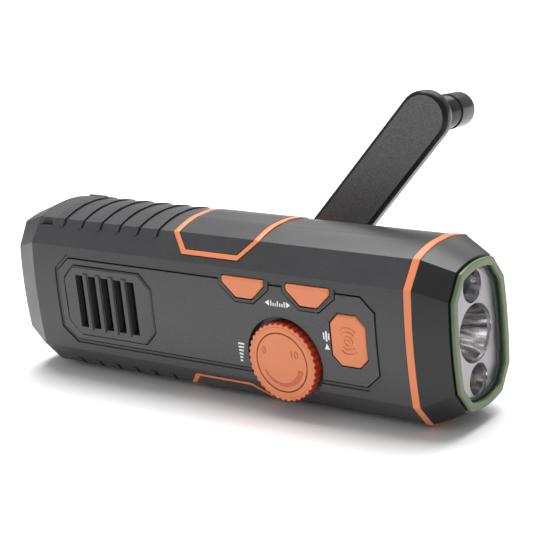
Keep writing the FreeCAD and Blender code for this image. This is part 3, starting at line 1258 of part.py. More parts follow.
socket("usb_socket", "usb_length", "usb_width", "usb_centre", "usb_height")
socket("charge_socket", "charge_length", "charge_width", "charge_centre", "charge_height")
BOARD_TOP = "(side_height - port_cover_depth - 2 * free_gap - usb_height)"
port_board = block("port_board", ("-port_left", "-port_board_half", "-port_board_thickness"),
                   ("-port_left + port_width", "port_board_half", "0"))
place(port_board, "port_board", z=BOARD_TOP + " - port_board_thickness")
charge_riser = block("charge_riser", ("-" + PORT_MIDDLE + " - charge_width / 2",
                                      "charge_centre - charge_length / 2", "0"),
                     ("-" + PORT_MIDDLE + " + charge_width / 2", "charge_centre + charge_length / 2",
                      "usb_height - charge_height"))
place(charge_riser, "charge_riser", z=BOARD_TOP)

# ---------------------------------------------------------------- back: solar panel and light button
solar = block("solar_panel", ("solar_left", "face_half - solar_depth", "-solar_half"),
              ("solar_right", "face_half + face_bulge / 3", "solar_half"))
place(solar, "solar_panel", z="-solar_half")
light = new_body("light_button")
pad(light, "light_cap", "XZ", "-" + CAP_FRONT, CAP_FRONT + " - " + FLANGE_BACK,
    circles=[(ORIGIN, "light_radius")])
bevel(light, "light_edge", "button_edge", on_plane("y", CAP_FRONT))
pad(light, "light_flange", "XZ", "-" + FLANGE_FRONT, "button_flange",
    circles=[(ORIGIN, "light_radius + button_flange_lip")])
place(light, "light_button", x="light_centre")
LIGHT_SEAT = "(face_half - front_wall - 2 * running_gap - button_flange - button_travel - switch_height)"
light_base = block("light_base", ("light_centre - switch_size / 2", LIGHT_SEAT, "-switch_size / 2"),
                   ("light_centre + switch_size / 2", LIGHT_SEAT + " + switch_height / 2", "switch_size / 2"))
light_tip = rod("light_tip", "y", ("light_centre", LIGHT_SEAT, "0"), "switch_size / 4", "switch_height")
place(fuse("light_switch_solid", light_base, light_tip), "light_switch")
LIGHT_BOARD_HALF = "(neck_post_z - post_radius - free_gap)"
light_board = block("light_board", ("light_centre - switch_size", LIGHT_SEAT + " - board_thickness",
                                    "-" + LIGHT_BOARD_HALF),
                    ("light_centre + switch_size / 2", LIGHT_SEAT, LIGHT_BOARD_HALF))
place(light_board, "light_board", z="-" + LIGHT_BOARD_HALF)

# ---------------------------------------------------------------- check and write
doc.recompute()
os.makedirs("parts", exist_ok=True)
for item in doc.Objects:
    if "Invalid" in item.State or "Error" in item.State:
        raise RuntimeError("%s could not be built: %s" % (item.Label, item.State))
for label, item in nodes.items():
    shape = item.Shape
    if shape.isNull() or not shape.isValid() or not shape.Solids:
        raise RuntimeError("%s has no sound solid" % label)
for label, item in nodes.items():
    item.Shape.exportStep(os.path.join("parts", label + ".step"))
    print(label, len(item.Shape.Solids), round(item.Shape.Volume, 1))
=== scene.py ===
import json
import math
import bmesh
import bpy
from mathutils import Matrix, Vector


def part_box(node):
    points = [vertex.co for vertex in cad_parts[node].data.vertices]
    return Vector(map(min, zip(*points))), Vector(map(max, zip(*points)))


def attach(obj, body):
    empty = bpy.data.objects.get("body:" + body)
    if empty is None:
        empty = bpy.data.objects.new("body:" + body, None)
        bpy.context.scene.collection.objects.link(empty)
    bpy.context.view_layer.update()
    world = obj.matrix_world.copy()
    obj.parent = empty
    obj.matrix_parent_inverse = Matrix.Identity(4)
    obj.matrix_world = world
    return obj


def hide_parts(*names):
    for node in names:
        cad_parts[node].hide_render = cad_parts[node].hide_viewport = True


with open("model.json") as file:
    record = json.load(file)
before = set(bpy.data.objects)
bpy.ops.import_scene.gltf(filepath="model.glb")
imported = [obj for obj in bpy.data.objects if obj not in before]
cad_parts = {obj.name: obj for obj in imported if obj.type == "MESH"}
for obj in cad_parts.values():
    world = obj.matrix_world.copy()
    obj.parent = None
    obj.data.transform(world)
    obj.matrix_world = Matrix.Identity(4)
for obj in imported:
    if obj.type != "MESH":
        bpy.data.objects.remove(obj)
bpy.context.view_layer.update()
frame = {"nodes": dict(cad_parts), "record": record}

cad = frame["nodes"]
scene = bpy.context.scene

# ---------------------------------------------------------------- housing shells
# Two deep shells of dark grey ABS meet along a seam just in front of the middle. They are
# injection moulded with a fine spark-eroded grain, and five screws from the back hold them.
# The saddle plates let into the upper and lower sides are the same plastic.
MM = 0.001
SHELL_GREY = (0.033, 0.0325, 0.0355)
SHELL_SHADE = (0.027, 0.0265, 0.029)


def add(tree, kind, **inputs):
    """A shader node with its inputs set to values or joined to other nodes' sockets."""
    made = tree.nodes.new("ShaderNode" + kind)
    for name, value in inputs.items():
        socket = made.inputs[name.replace("_", " ")]
        if isinstance(value, bpy.types.NodeSocket):
            tree.links.new(value, socket)
        else:
            socket.default_value = value
    return made


def math_of(tree, operation, first, second):
    """One arithmetic node over two sockets or values."""
    made = tree.nodes.new("ShaderNodeMath")
    made.operation = operation
    for socket, value in zip(made.inputs, (first, second)):
        if isinstance(value, bpy.types.NodeSocket):
            tree.links.new(value, socket)
        else:
            socket.default_value = value
    return made.outputs["Value"]


def ramp(tree, factor, *stops):
    """Colours along a factor from 0 to 1."""
    made = add(tree, "ValToRGB", Fac=factor)
    elements = made.color_ramp.elements
    elements[0].position, elements[0].color = stops[0][0], (*stops[0][1], 1)
    elements[1].position, elements[1].color = stops[-1][0], (*stops[-1][1], 1)
    for position, colour in stops[1:-1]:
        elements.new(position).color = (*colour, 1)
    return made.outputs["Color"]


def mixed(tree, factor, base, over):
    """The base colour with another laid over it by a factor."""
    made = tree.nodes.new("ShaderNodeMix")
    made.data_type = "RGBA"
    tree.links.new(factor, made.inputs["Factor"])
    for socket, value in ((made.inputs[6], base), (made.inputs[7], over)):
        if isinstance(value, bpy.types.NodeSocket):
            tree.links.new(value, socket)
        else:
            socket.default_value = (*value, 1)
    return made.outputs[2]


def grey(value):
    """A neutral colour of this brightness."""
    return (value, value, value)


def noise(tree, place, size, detail=2.0):
    """Noise with features of about this size in millimetres."""
    made = add(tree, "TexNoise", Vector=place, Scale=1 / (size * MM), Detail=detail)
    return made.outputs["Fac"]


def new_finish(name):
    """An empty material, with its tree, its shader and the piece's own coordinates."""
    material = bpy.data.materials.new(name)
    material.use_nodes = True
    tree = material.node_tree
    return material, tree, tree.nodes["Principled BSDF"], add(tree, "TexCoord").outputs["Object"]


def plastic(name, colour, shade, roughness, grain=0.35, relief=0.012, edge=0.25, worn=1.5,
            speckle_and_glints=0.0, **uniform):
    """Moulded plastic: a fine grain, cloudy flow marks, and edges rubbed a little lighter.
    Sizes are in millimetres. The speckle setting paints the grain's flecks darker and lighter: real flecks
    on most of the plastics, painted glints on the lamp resins. uniform sets the shader's own sockets."""
    material, tree, shader, place = new_finish(name)
    cloud = noise(tree, place, 14, 4.0)
    rounded = add(tree, "Bevel", Radius=edge * MM).outputs["Normal"]
    flat = add(tree, "NewGeometry").outputs["Normal"]
    facing = tree.nodes.new("ShaderNodeVectorMath")
    facing.operation = "DOT_PRODUCT"
    tree.links.new(rounded, facing.inputs[0])
    tree.links.new(flat, facing.inputs[1])
    rub = add(tree, "MapRange", Value=facing.outputs["Value"], From_Min=0.995, From_Max=0.90)
    rubbed = math_of(tree, "MULTIPLY", rub.outputs["Result"], noise(tree, place, 1.5, 3.0))
    colours = ramp(tree, cloud, (0.3, shade), (0.7, colour))
    pits = noise(tree, place, grain)
    # Grain flecks painted darker and lighter. On the lamp resins these flecks are painted glints.
    if speckle_and_glints:
        dark, light = ([c * (1 + k * speckle_and_glints) for c in colour] for k in (-1, 1))
        flecks_and_glints = ramp(tree, pits, (0.38, dark), (0.5, colour), (0.62, light))
        colours = mixed(tree, math_of(tree, "MULTIPLY", cloud, 1.2), colours, flecks_and_glints)
    tree.links.new(mixed(tree, rubbed, colours, [min(1.0, c * worn) for c in colour]),
                   shader.inputs["Base Color"])
    gloss = ramp(tree, cloud, (0.3, grey(roughness - 0.05)), (0.7, grey(roughness + 0.05)))
    tree.links.new(gloss, shader.inputs["Roughness"])
    bump = add(tree, "Bump", Height=pits, Distance=relief * MM, Normal=rounded)
    tree.links.new(bump.outputs["Normal"], shader.inputs["Normal"])
    for socket, value in uniform.items():
        shader.inputs[socket.replace("_", " ")].default_value = value
    return material


def wear(material, *names):
    """Gives CAD nodes that are shown as they are their finish."""
    for name in names:
        cad[name].data.materials.clear()
        cad[name].data.materials.append(material)


shell_plastic = plastic("shell_plastic", SHELL_GREY, SHELL_SHADE, 0.38, speckle_and_glints=0.25)
SEAM_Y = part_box("front_shell")[1].y
SEAM_SHADOW_WIDTH = 0.26
# A near-black band about a quarter of a millimetre wide is painted round the shells along the seam. It is
# a painted shadow of the gap between them.
tree = shell_plastic.node_tree
shader = tree.nodes["Principled BSDF"]
depth = add(tree, "SeparateXYZ", Vector=add(tree, "TexCoord").outputs["Object"]).outputs["Y"]
from_seam = math_of(tree, "ABSOLUTE", math_of(tree, "SUBTRACT", depth, SEAM_Y), 0)
seam_shadow_mask = math_of(tree, "LESS_THAN", from_seam, SEAM_SHADOW_WIDTH * MM / 2)
moulded = shader.inputs["Base Color"].links[0].from_socket
tree.links.new(mixed(tree, seam_shadow_mask, moulded, grey(0.003)), shader.inputs["Base Color"])
wear(shell_plastic, "front_shell", "back_shell")
saddle_plastic = plastic("saddle_plastic", SHELL_GREY, SHELL_SHADE, 0.34, speckle_and_glints=0.25)
wear(saddle_plastic, "upper_saddle_plate", "lower_saddle_plate")

# ---------------------------------------------------------------- case screws, pins and plates
# Pan-head case screws, hinge pins, shafts, the gearbox plate, the generator can and the two
# socket shells, all of zinc-plated steel.


def metal(name, colour, shade, roughness, brush=0.3, relief=0.004):
    """Worked metal: a faint brushed bump and patches of slightly different polish."""
    material, tree, shader, place = new_finish(name)
    patch = noise(tree, place, 5, 3.0)
    tree.links.new(ramp(tree, patch, (0.35, shade), (0.65, colour)), shader.inputs["Base Color"])
    polish = ramp(tree, patch, (0.3, grey(roughness * 0.8)), (0.7, grey(roughness * 1.25)))
    tree.links.new(polish, shader.inputs["Roughness"])
    marks = add(tree, "Bump", Height=noise(tree, place, brush), Distance=relief * MM)
    tree.links.new(marks.outputs["Normal"], shader.inputs["Normal"])
    shader.inputs["Metallic"].default_value = 1.0
    return material


steel = metal("zinc_steel", (0.62, 0.63, 0.65), (0.48, 0.49, 0.51), 0.28)
wear(steel, "case_screws", "hinge_pin", "knob_pin", "idler_shaft", "port_cover_pin", "dial_shaft",
     "usb_socket", "charge_socket", "gearbox_plate", "generator")

# ---------------------------------------------------------------- saddle trims
# A raised orange band runs round each saddle plate. It is moulded in the same orange plastic as
# the keys, with a rounded ridge, and clips into the pocket in the shells.
ORANGE = (0.72, 0.220, 0.088)
ORANGE_SHADE = (0.68, 0.203, 0.080)
orange_plastic = plastic("orange_plastic", ORANGE, ORANGE_SHADE, 0.42, grain=0.5, relief=0.006,
                         worn=1.12)
SHARP = math.radians(28)


def settle(name, mesh, material, body, slot, *more_materials):
    """Makes a finished piece from a bmesh, gives it its finishes and lets it ride on a body."""
    data = bpy.data.meshes.new(name)
    mesh.to_mesh(data)
    mesh.free()
    for finish in (material, *more_materials):
        data.materials.append(finish)
    piece = bpy.data.objects.new(name, data)
    scene.collection.objects.link(piece)
    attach(piece, body)
    return piece


def merged_copy(node, edge, segments=2):
    """A closed copy of a CAD node with its sharp edges rounded by this many millimetres."""
    mesh = bmesh.new()
    mesh.from_mesh(cad[node].data)
    bmesh.ops.remove_doubles(mesh, verts=mesh.verts, dist=0.002 * MM)
    bmesh.ops.dissolve_limit(mesh, angle_limit=math.radians(0.5), verts=mesh.verts,
                             edges=mesh.edges)
    corners = [e for e in mesh.edges if len(e.link_faces) == 2 and e.calc_face_angle(0) > SHARP]
    bmesh.ops.bevel(mesh, geom=corners, offset=edge * MM, offset_type="OFFSET", affect="EDGES",
                    segments=segments, profile=0.5, material=-1, clamp_overlap=True)
    return mesh


for side in ("upper", "lower"):
    node = side + "_saddle_trim"
    band = merged_copy(node, 0.3)
    trim = settle(side + "_trim_band", band, orange_plastic, "housing", "orange")
    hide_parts(node)

# ---------------------------------------------------------------- head ring and bezel
# The orange ring is clamped between the shells and the bezel. The bezel is a black, slightly
# glossier moulding whose collar slides into the shells, and it carries the torch.
wear(orange_plastic, "head_ring")
bezel_plastic = plastic("bezel_plastic", (0.013, 0.013, 0.014), (0.010, 0.010, 0.011), 0.34,
                        Specular_IOR_Level=0.4)
wear(bezel_plastic, "head_bezel")

# ---------------------------------------------------------------- glow ring
# A ring of pale green phosphorescent plastic is glued to the bezel's nose, so that the torch can
# be found in the dark. It is slightly milky, and glossier on the inside of its mouth.
glow_plastic = plastic("glow_plastic", (0.105, 0.145, 0.068), (0.08, 0.115, 0.052), 0.22,
                       relief=0.004, Specular_IOR_Level=0.4)
band = merged_copy("glow_ring", 0.45, segments=3)
glow_band = settle("glow_band", band, glow_plastic, "housing", "glow")
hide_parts("glow_ring")

# ---------------------------------------------------------------- torch: lens, gasket and reflector
# A clear polycarbonate window sits on a foam gasket. Behind it a satin metallised plate carries
# three polished cups, a large one between two small ones.
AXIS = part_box("lens")[0][2] / MM / 2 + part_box("lens")[1][2] / MM / 2
PLATE_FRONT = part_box("reflector")[1][0] / MM

lens_clear, tree, shader, place = new_finish("lens_clear")
shader.inputs["Alpha"].default_value = 0.05
shader.inputs["Roughness"].default_value = 0.04
tint = ramp(tree, noise(tree, place, 8), (0.3, (0.10, 0.12, 0.13)), (0.7, (0.14, 0.16, 0.17)))
tree.links.new(tint, shader.inputs["Base Color"])
wear(lens_clear, "lens")
foam = plastic("gasket_foam", (0.045, 0.065, 0.040), (0.030, 0.046, 0.028), 0.45, grain=0.25,
               relief=0.03)
wear(foam, "lens_gasket")


def lathe(profile, place, axis, steps=96, turn=2 * math.pi, start=0.0):
    """A shape turned from a profile of (radius, distance along the axis) in millimetres."""
    mesh = bmesh.new()
    verts = [mesh.verts.new((radius, 0, along)) for radius, along in profile]
    edges = [mesh.edges.new(pair) for pair in zip(verts, verts[1:])]
    whole = abs(turn - 2 * math.pi) < 1e-6
    bmesh.ops.rotate(mesh, verts=verts, cent=(0, 0, 0), matrix=Matrix.Rotation(start, 3, "Z"))
    bmesh.ops.spin(mesh, geom=verts + edges, cent=(0, 0, 0), axis=(0, 0, 1), dvec=(0, 0, 0),
                   angle=turn, steps=steps, use_merge=whole, use_normal_flip=False,
                   use_duplicate=False)
    bmesh.ops.remove_doubles(mesh, verts=mesh.verts, dist=0.0005)
    if not whole:
        ends = [e for e in mesh.edges if len(e.link_faces) == 1]
        bmesh.ops.holes_fill(mesh, edges=ends, sides=0)
    bmesh.ops.recalc_face_normals(mesh, faces=mesh.faces)
    turned = Vector(axis).to_track_quat("Z", "Y").to_matrix().to_4x4()
    pose = Matrix.Translation(Vector(place) * MM) @ turned
    bmesh.ops.transform(mesh, matrix=pose @ Matrix.Scale(MM, 4), verts=mesh.verts)
    return mesh


def joined(*meshes):
    """One bmesh from several."""
    whole = bmesh.new()
    for mesh in meshes:
        data = bpy.data.meshes.new("joined")
        mesh.to_mesh(data)
        mesh.free()
        whole.from_mesh(data)
        bpy.data.meshes.remove(data)
    return whole


def smooth(piece, angle=35):
    """Smooth shading with the sharp edges kept."""
    piece.data.shade_smooth()
    piece.data.set_sharp_from_angle(angle=math.radians(angle))
    return piece


satin_metal = metal("satin_plate", (0.36, 0.34, 0.36), (0.31, 0.30, 0.31), 0.36, brush=0.8,
                    relief=0.01)
chrome = metal("vacuum_chrome", (0.52, 0.50, 0.52), (0.40, 0.39, 0.41), 0.12, brush=1.5,
               relief=0.003)
# Dark and bright bands are painted into the chrome's colour round the cups' axis. They are a painted
# reflection of the studio.
tree = chrome.node_tree
shader = tree.nodes["Principled BSDF"]
split = add(tree, "SeparateXYZ", Vector=add(tree, "TexCoord").outputs["Object"])
round_axis = add(tree, "CombineXYZ", Y=split.outputs["Y"], Z=split.outputs["Z"]).outputs["Vector"]
painted_reflection_bands = ramp(tree, noise(tree, round_axis, 2.4, 3.0), (0.38, (0.10, 0.09, 0.09)),
               (0.50, (0.42, 0.40, 0.40)), (0.60, (0.80, 0.78, 0.80)))
tree.links.new(painted_reflection_bands, shader.inputs["Base Color"])
PLATE_THICK = 1.15
plate = bmesh.new()
plate.from_mesh(cad["reflector"].data)
bmesh.ops.remove_doubles(plate, verts=plate.verts, dist=0.002 * MM)
bmesh.ops.bisect_plane(plate, geom=plate.verts[:] + plate.edges[:] + plate.faces[:],
                       plane_co=((PLATE_FRONT - PLATE_THICK) * MM, 0, 0), plane_no=(1, 0, 0),
                       clear_inner=True)
back_rims = [e for e in plate.edges if len(e.link_faces) == 1]
bmesh.ops.triangle_fill(plate, use_beauty=True, use_dissolve=False, edges=back_rims,
                        normal=(-1, 0, 0))
reflector_plate = settle("reflector_plate", plate, satin_metal, "housing", "reflector")
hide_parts("reflector")
CUP_STEPS, CUP_WALL, SIDE_LAMP_HEIGHT = 12, 0.35, 15.2
for name, height, mouth, throat, depth in (("main", 0, 9.35, 3.4, 17.0),
                                           ("upper", SIDE_LAMP_HEIGHT, 5.25, 2.6, 10.0),
                                           ("lower", -SIDE_LAMP_HEIGHT, 5.25, 2.6, 10.0)):
    inside = []
    for i in range(CUP_STEPS + 1):
        share = i / CUP_STEPS
        radius = math.sqrt(throat ** 2 + (mouth ** 2 - throat ** 2) * share)
        inside.append((radius, share * depth))
    outside = [(radius + CUP_WALL, along) for radius, along in reversed(inside[:-1])]
    cup = lathe(inside + outside + inside[:1], (PLATE_FRONT - depth, 0, AXIS + height), (1, 0, 0))
    smooth(settle("reflector_cup_" + name, cup, chrome, "housing", "reflector"))

# ---------------------------------------------------------------- torch: lamps and their board
# A large white lamp chip with a yellow phosphor sits in the main cup. The upper small lamp is a
# dark blue signal lamp and the lower one is a warm reading lamp, both with domed clear resin.
board_green = plastic("board_green", (0.02, 0.12, 0.05), (0.015, 0.09, 0.035), 0.35)
phosphor = plastic("lamp_phosphor", (0.85, 0.68, 0.16), (0.75, 0.58, 0.12), 0.3, Coat_Weight=0.6)
# The two resins have strong dark and bright patches and flecks in their colour. These are painted glints
# and painted reflections in the clear domes.
blue_resin = plastic("blue_resin", (0.012, 0.022, 0.060), (0.004, 0.006, 0.014), 0.14, grain=1.6,
                     relief=0.35, speckle_and_glints=0.9, Specular_IOR_Level=0.35)
warm_resin = plastic("warm_resin", (0.26, 0.22, 0.075), (0.05, 0.045, 0.03), 0.14, grain=1.6,
                     relief=0.35, speckle_and_glints=0.9, Specular_IOR_Level=0.35)
wear(board_green, "led_board")
wear(phosphor, "main_led")
LAMP_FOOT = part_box("side_leds")[0][0] / MM
LAMP_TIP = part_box("side_leds")[1][0] / MM
LAMP_RADIUS, LENS_RADIUS, LENS_SET, NECK_DROP, FLANGE_DROP = 2.35, 3.9, 1.4, 1.0, 0.4
rise = LAMP_TIP - LAMP_FOOT + LENS_SET
dome = [(LENS_RADIUS * math.cos(math.radians(a)), rise + LENS_RADIUS * math.sin(math.radians(a)))
        for a in range(0, 90, 15)]
stem = [(0, 0), (LAMP_RADIUS, 0), (LAMP_RADIUS, rise - NECK_DROP), (LENS_RADIUS, rise - FLANGE_DROP)]
lamp_profile = stem + dome + [(0, rise + LENS_RADIUS)]
lamps = joined(*[lathe(lamp_profile, (LAMP_FOOT, 0, AXIS + height), (1, 0, 0), steps=40)
                 for height in (SIDE_LAMP_HEIGHT, -SIDE_LAMP_HEIGHT)])
for face in lamps.faces:
    face.material_index = 0 if face.calc_center_median().z > AXIS * MM else 1
domes = smooth(settle("lamp_domes", lamps, blue_resin, "housing", "led", warm_resin))
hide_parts("side_leds")

# ---------------------------------------------------------------- control panel
# A thin plate of dark grey ABS with a satin grain is bonded into the recess in the front shell.
# The tuning, radio and siren marks are pad printed on it in white.
panel_plastic = plastic("panel_plastic", (0.050, 0.0485, 0.052), (0.043, 0.042, 0.045), 0.42,
                        speckle_and_glints=0.3)
wear(panel_plastic, "control_panel")
white_ink = plastic("white_ink", (0.85, 0.85, 0.83), (0.76, 0.76, 0.74), 0.5, edge=0.02, worn=1.0)
PANEL_CROWN = 20.6
PANEL_CURVE = 322.4
INK_PROUD = 0.04


def printed(marks, name):
    """White marks of (x, height) outlines, laid on the panel's crowned face."""
    mesh = bmesh.new()
    for outline in marks:
        rim = [mesh.verts.new((x, 0, z)) for x, z in outline]
        face = mesh.faces.new(rim)
        grown = bmesh.ops.extrude_face_region(mesh, geom=[face])
        top = [v for v in grown["geom"] if isinstance(v, bmesh.types.BMVert)]
        bmesh.ops.translate(mesh, verts=top, vec=(0, -2 * INK_PROUD, 0))
    for vert in mesh.verts:
        vert.co.y += INK_PROUD - (PANEL_CROWN - vert.co.z ** 2 / PANEL_CURVE)
    bmesh.ops.recalc_face_normals(mesh, faces=mesh.faces)
    placed = Matrix.Scale(MM, 4) @ Matrix.Translation((0, 0, AXIS))
    bmesh.ops.transform(mesh, matrix=placed, verts=mesh.verts)
    return settle(name, mesh, white_ink, "housing", "panel")


def bar(x, z, width, height):
    """An upright rectangle from its lower left corner."""
    return [(x, z), (x + width, z), (x + width, z + height), (x, z + height)]


TICK_X, TICK_FOOT, TICK_PITCH, TICK_WIDE, TICK_LONG, TICK_SHORT = 25.15, 8.1, 0.88, 0.42, 1.8, 1.1
ticks = [bar(TICK_X + TICK_PITCH * i, TICK_FOOT, TICK_WIDE, TICK_SHORT if i % 3 else TICK_LONG)
         for i in range(7)]
DOWN_TIP, UP_TIP, ARROW_LONG, ARROW_HALF, ARROW_Z = 22.9, 33.0, 1.7, 1.0, 9.0
down_arrow = [(DOWN_TIP, ARROW_Z), (DOWN_TIP + ARROW_LONG, ARROW_Z - ARROW_HALF),
              (DOWN_TIP + ARROW_LONG, ARROW_Z + ARROW_HALF)]
up_arrow = [(UP_TIP, ARROW_Z), (UP_TIP - ARROW_LONG, ARROW_Z + ARROW_HALF),
            (UP_TIP - ARROW_LONG, ARROW_Z - ARROW_HALF)]
printed([down_arrow, up_arrow] + ticks, "tuning_mark")
LEVEL_X, LEVEL_Z, LEVEL_PITCH, LEVEL_TALL, LEVEL_STEP, LEVELS = 10.2, -6.8, 1.2, 0.62, 0.32, 6
printed([bar(LEVEL_X, LEVEL_Z - LEVEL_PITCH * i, 0.6 + LEVEL_STEP * (LEVELS - i), LEVEL_TALL)
         for i in range(LEVELS)], "volume_mark")
CONE_X, CONE_FOOT, CONE_HALF, CONE_TIP = 46.1, -3.8, 1.0, -1.8
cone = [(CONE_X - CONE_HALF, CONE_FOOT), (CONE_X + CONE_HALF, CONE_FOOT), (CONE_X, CONE_TIP)]
waves = [bar(45.8, -1.1, 0.6, 3.4), bar(44.9, -0.5, 0.5, 2.2), bar(46.8, -0.5, 0.5, 2.2)]
printed([cone] + waves, "siren_mark")

# ---------------------------------------------------------------- speaker grille, cloth and speaker
# The grille is a separate dark grey frame with five open slots. Rounded bars stand a little
# proud between them, and black acoustic cloth is stretched behind it over a doped paper cone.
wear(panel_plastic, "grille_insert")
GRILLE_CENTRE = (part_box("grille_insert")[0][0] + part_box("grille_insert")[1][0]) / MM / 2
GRILLE_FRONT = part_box("grille_insert")[0][1] / MM
SLOT_SHIFT, SLOT_PITCH = -0.6, 5.83
BARS, BAR_WIDTH, BAR_HALF, BAR_PROUD, BAR_DEEP, BAR_ROUND = 4, 1.9, 10.3, 0.55, 1.6, 0.4
bars = bmesh.new()
for i in range(BARS):
    made = bmesh.ops.create_cube(bars, size=1.0)["verts"]
    bmesh.ops.scale(bars, vec=(BAR_WIDTH, BAR_DEEP, 2 * BAR_HALF), verts=made)
    bmesh.ops.translate(bars, verts=made,
                        vec=(GRILLE_CENTRE + SLOT_SHIFT + (i - (BARS - 1) / 2) * SLOT_PITCH,
                             GRILLE_FRONT - BAR_PROUD + BAR_DEEP / 2, AXIS))
front_edges = [e for e in bars.edges if all(v.co.y < GRILLE_FRONT for v in e.verts)]
bmesh.ops.bevel(bars, geom=front_edges, offset=BAR_ROUND, offset_type="OFFSET", affect="EDGES",
                segments=3, profile=0.5, material=-1)
bmesh.ops.transform(bars, matrix=Matrix.Scale(MM, 4), verts=bars.verts)
settle("grille_bars", bars, panel_plastic, "housing", "panel")

cloth, tree, shader, place = new_finish("speaker_cloth_weave")
split = add(tree, "SeparateXYZ", Vector=place)
WEAVE = 0.55
thread_waves = []
for axis in ("X", "Z"):
    turns = math_of(tree, "MULTIPLY", split.outputs[axis], 2 * math.pi / (WEAVE * MM))
    thread_waves.append(math_of(tree, "SINE", turns, 0))
threads = math_of(tree, "MULTIPLY", *thread_waves)
lifted = add(tree, "MapRange", Value=threads, From_Min=-1.0, From_Max=1.0).outputs["Result"]
# The raised thread crossings are painted lighter in patches. These are painted glints on the weave.
thread_glints = math_of(tree, "MULTIPLY", lifted, noise(tree, place, 1.2, 3.0))
tree.links.new(ramp(tree, thread_glints, (0.1, grey(0.004)), (0.45, grey(0.012)), (0.62, grey(0.05))),
               shader.inputs["Base Color"])
threads_raised = add(tree, "Bump", Height=lifted, Distance=0.12 * MM)
tree.links.new(threads_raised.outputs["Normal"], shader.inputs["Normal"])
shader.inputs["Roughness"].default_value = 0.75
wear(cloth, "speaker_cloth")
cone_paper = plastic("cone_paper", (0.02, 0.02, 0.021), (0.014, 0.014, 0.015), 0.7, grain=0.6, relief=0.05)
wear(cone_paper, "speaker")
wear(metal("magnet_plate", (0.30, 0.30, 0.32), (0.22, 0.22, 0.24), 0.4), "speaker_magnet")

# ---------------------------------------------------------------- tuning and siren keys, light key
# Orange caps stand through the panel with soft bevelled edges. The siren key has a raised
# sounding mark: a dot and ring with two arcs above and two below.
KEY_EDGE = 0.35


def key(node, body, name):
    """A softened key cap in place of its CAD node."""
    piece = settle(name, merged_copy(node, KEY_EDGE, segments=3), orange_plastic, body, "orange")
    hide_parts(node)
    return piece


key("tuning_down_button", "tuning_down", "tuning_down_key")
key("tuning_up_button", "tuning_up", "tuning_up_key")
key("siren_button", "siren", "siren_key")
key("light_button", "light", "light_key")
KEY_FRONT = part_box("siren_button")[0][1] / MM
SIREN_X = (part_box("siren_button")[0][0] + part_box("siren_button")[1][0]) / MM / 2
MARK_PROUD, MARK_HALF, MARK_SUNK, MARK_SHOULDER = 0.22, 0.24, 0.1, 0.7


def raised_ring(radius, turn=2 * math.pi, start=0.0):
    """A raised ring or arc with a softened top, standing on the siren key's face."""
    inner, outer, shoulder = radius - MARK_HALF, radius + MARK_HALF, MARK_PROUD * MARK_SHOULDER
    profile = [(inner, -MARK_SUNK), (outer, -MARK_SUNK), (outer, shoulder),
               (radius + MARK_HALF / 2, MARK_PROUD), (radius - MARK_HALF / 2, MARK_PROUD),
               (inner, shoulder), (inner, -MARK_SUNK)]
    return lathe(profile, (SIREN_X, KEY_FRONT, AXIS), (0, -1, 0), steps=48, turn=turn, start=start)


DOT_TOP_R, DOT_FOOT_R = 0.45, 0.6
dot = lathe([(0, MARK_PROUD), (DOT_TOP_R, MARK_PROUD), (DOT_FOOT_R, -MARK_SUNK), (0, -MARK_SUNK)],
            (SIREN_X, KEY_FRONT, AXIS), (0, -1, 0), steps=24)
arcs = [raised_ring(radius, turn=math.radians(2 * spread), start=math.radians(middle - spread))
        for radius, spread in ((2.9, 48), (4.3, 42)) for middle in (90, 270)]
sounding = joined(dot, raised_ring(1.5), *arcs)
settle("siren_sounding_mark", sounding, orange_plastic, "siren", "orange")

# ---------------------------------------------------------------- volume dial
# The dial is a thumb wheel with thirty-six scallops. Its rim is a deeper red orange, and its
# face has a groove, a tapering volume arc and the end numbers raised in it. It turns a
# potentiometer through a steel shaft.
rim_plastic = plastic("dial_rim_plastic", (0.52, 0.055, 0.022), (0.42, 0.040, 0.016), 0.38, worn=1.3)
low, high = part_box("volume_dial")
DIAL_X, DIAL_Z = (low.x + high.x) / MM / 2, (low.z + high.z) / MM / 2
DIAL_R = (high.x - low.x) / MM / 2
DIAL_THICK = 4.0
DIAL_FRONT, DIAL_BACK = low.y / MM, low.y / MM + DIAL_THICK
SCALLOPS, SCALLOP_DEEP, RIM_FRONT_DROP, RIM_ROUND = 36, 0.55, 0.25, 0.35
wheel = bmesh.new()
bmesh.ops.create_circle(wheel, cap_ends=True, segments=SCALLOPS * 8, radius=DIAL_R)
for vert in wheel.verts:
    wave = 0.5 + 0.5 * math.cos(SCALLOPS * math.atan2(vert.co.y, vert.co.x))
    vert.co.xy *= 1 - SCALLOP_DEEP * wave ** 2 / DIAL_R
grown = bmesh.ops.extrude_face_region(wheel, geom=wheel.faces[:])
bmesh.ops.translate(wheel, verts=[v for v in grown["geom"] if isinstance(v, bmesh.types.BMVert)],
                    vec=(0, 0, DIAL_BACK - DIAL_FRONT - RIM_FRONT_DROP))
bmesh.ops.recalc_face_normals(wheel, faces=wheel.faces)
rims = [e for e in wheel.edges
        if abs(e.verts[0].co.z - e.verts[1].co.z) < 1e-6 and e.verts[0].co.z > DIAL_THICK / 4]
bmesh.ops.bevel(wheel, geom=rims, offset=RIM_ROUND, offset_type="OFFSET", affect="EDGES",
                segments=3, profile=0.5, material=-1)
facing_out = Vector((0, -1, 0)).to_track_quat("Z", "Y").to_matrix().to_4x4()
pose = Matrix.Translation(Vector((DIAL_X, DIAL_BACK, DIAL_Z)) * MM) @ facing_out
bmesh.ops.transform(wheel, matrix=pose @ Matrix.Scale(MM, 4), verts=wheel.verts)
for face in wheel.faces:
    face.material_index = 1 if face.normal.y < -0.9 else 0
wheel_piece = smooth(settle("dial_wheel", wheel, rim_plastic, "volume_dial", "orange", orange_plastic))
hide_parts("volume_dial")
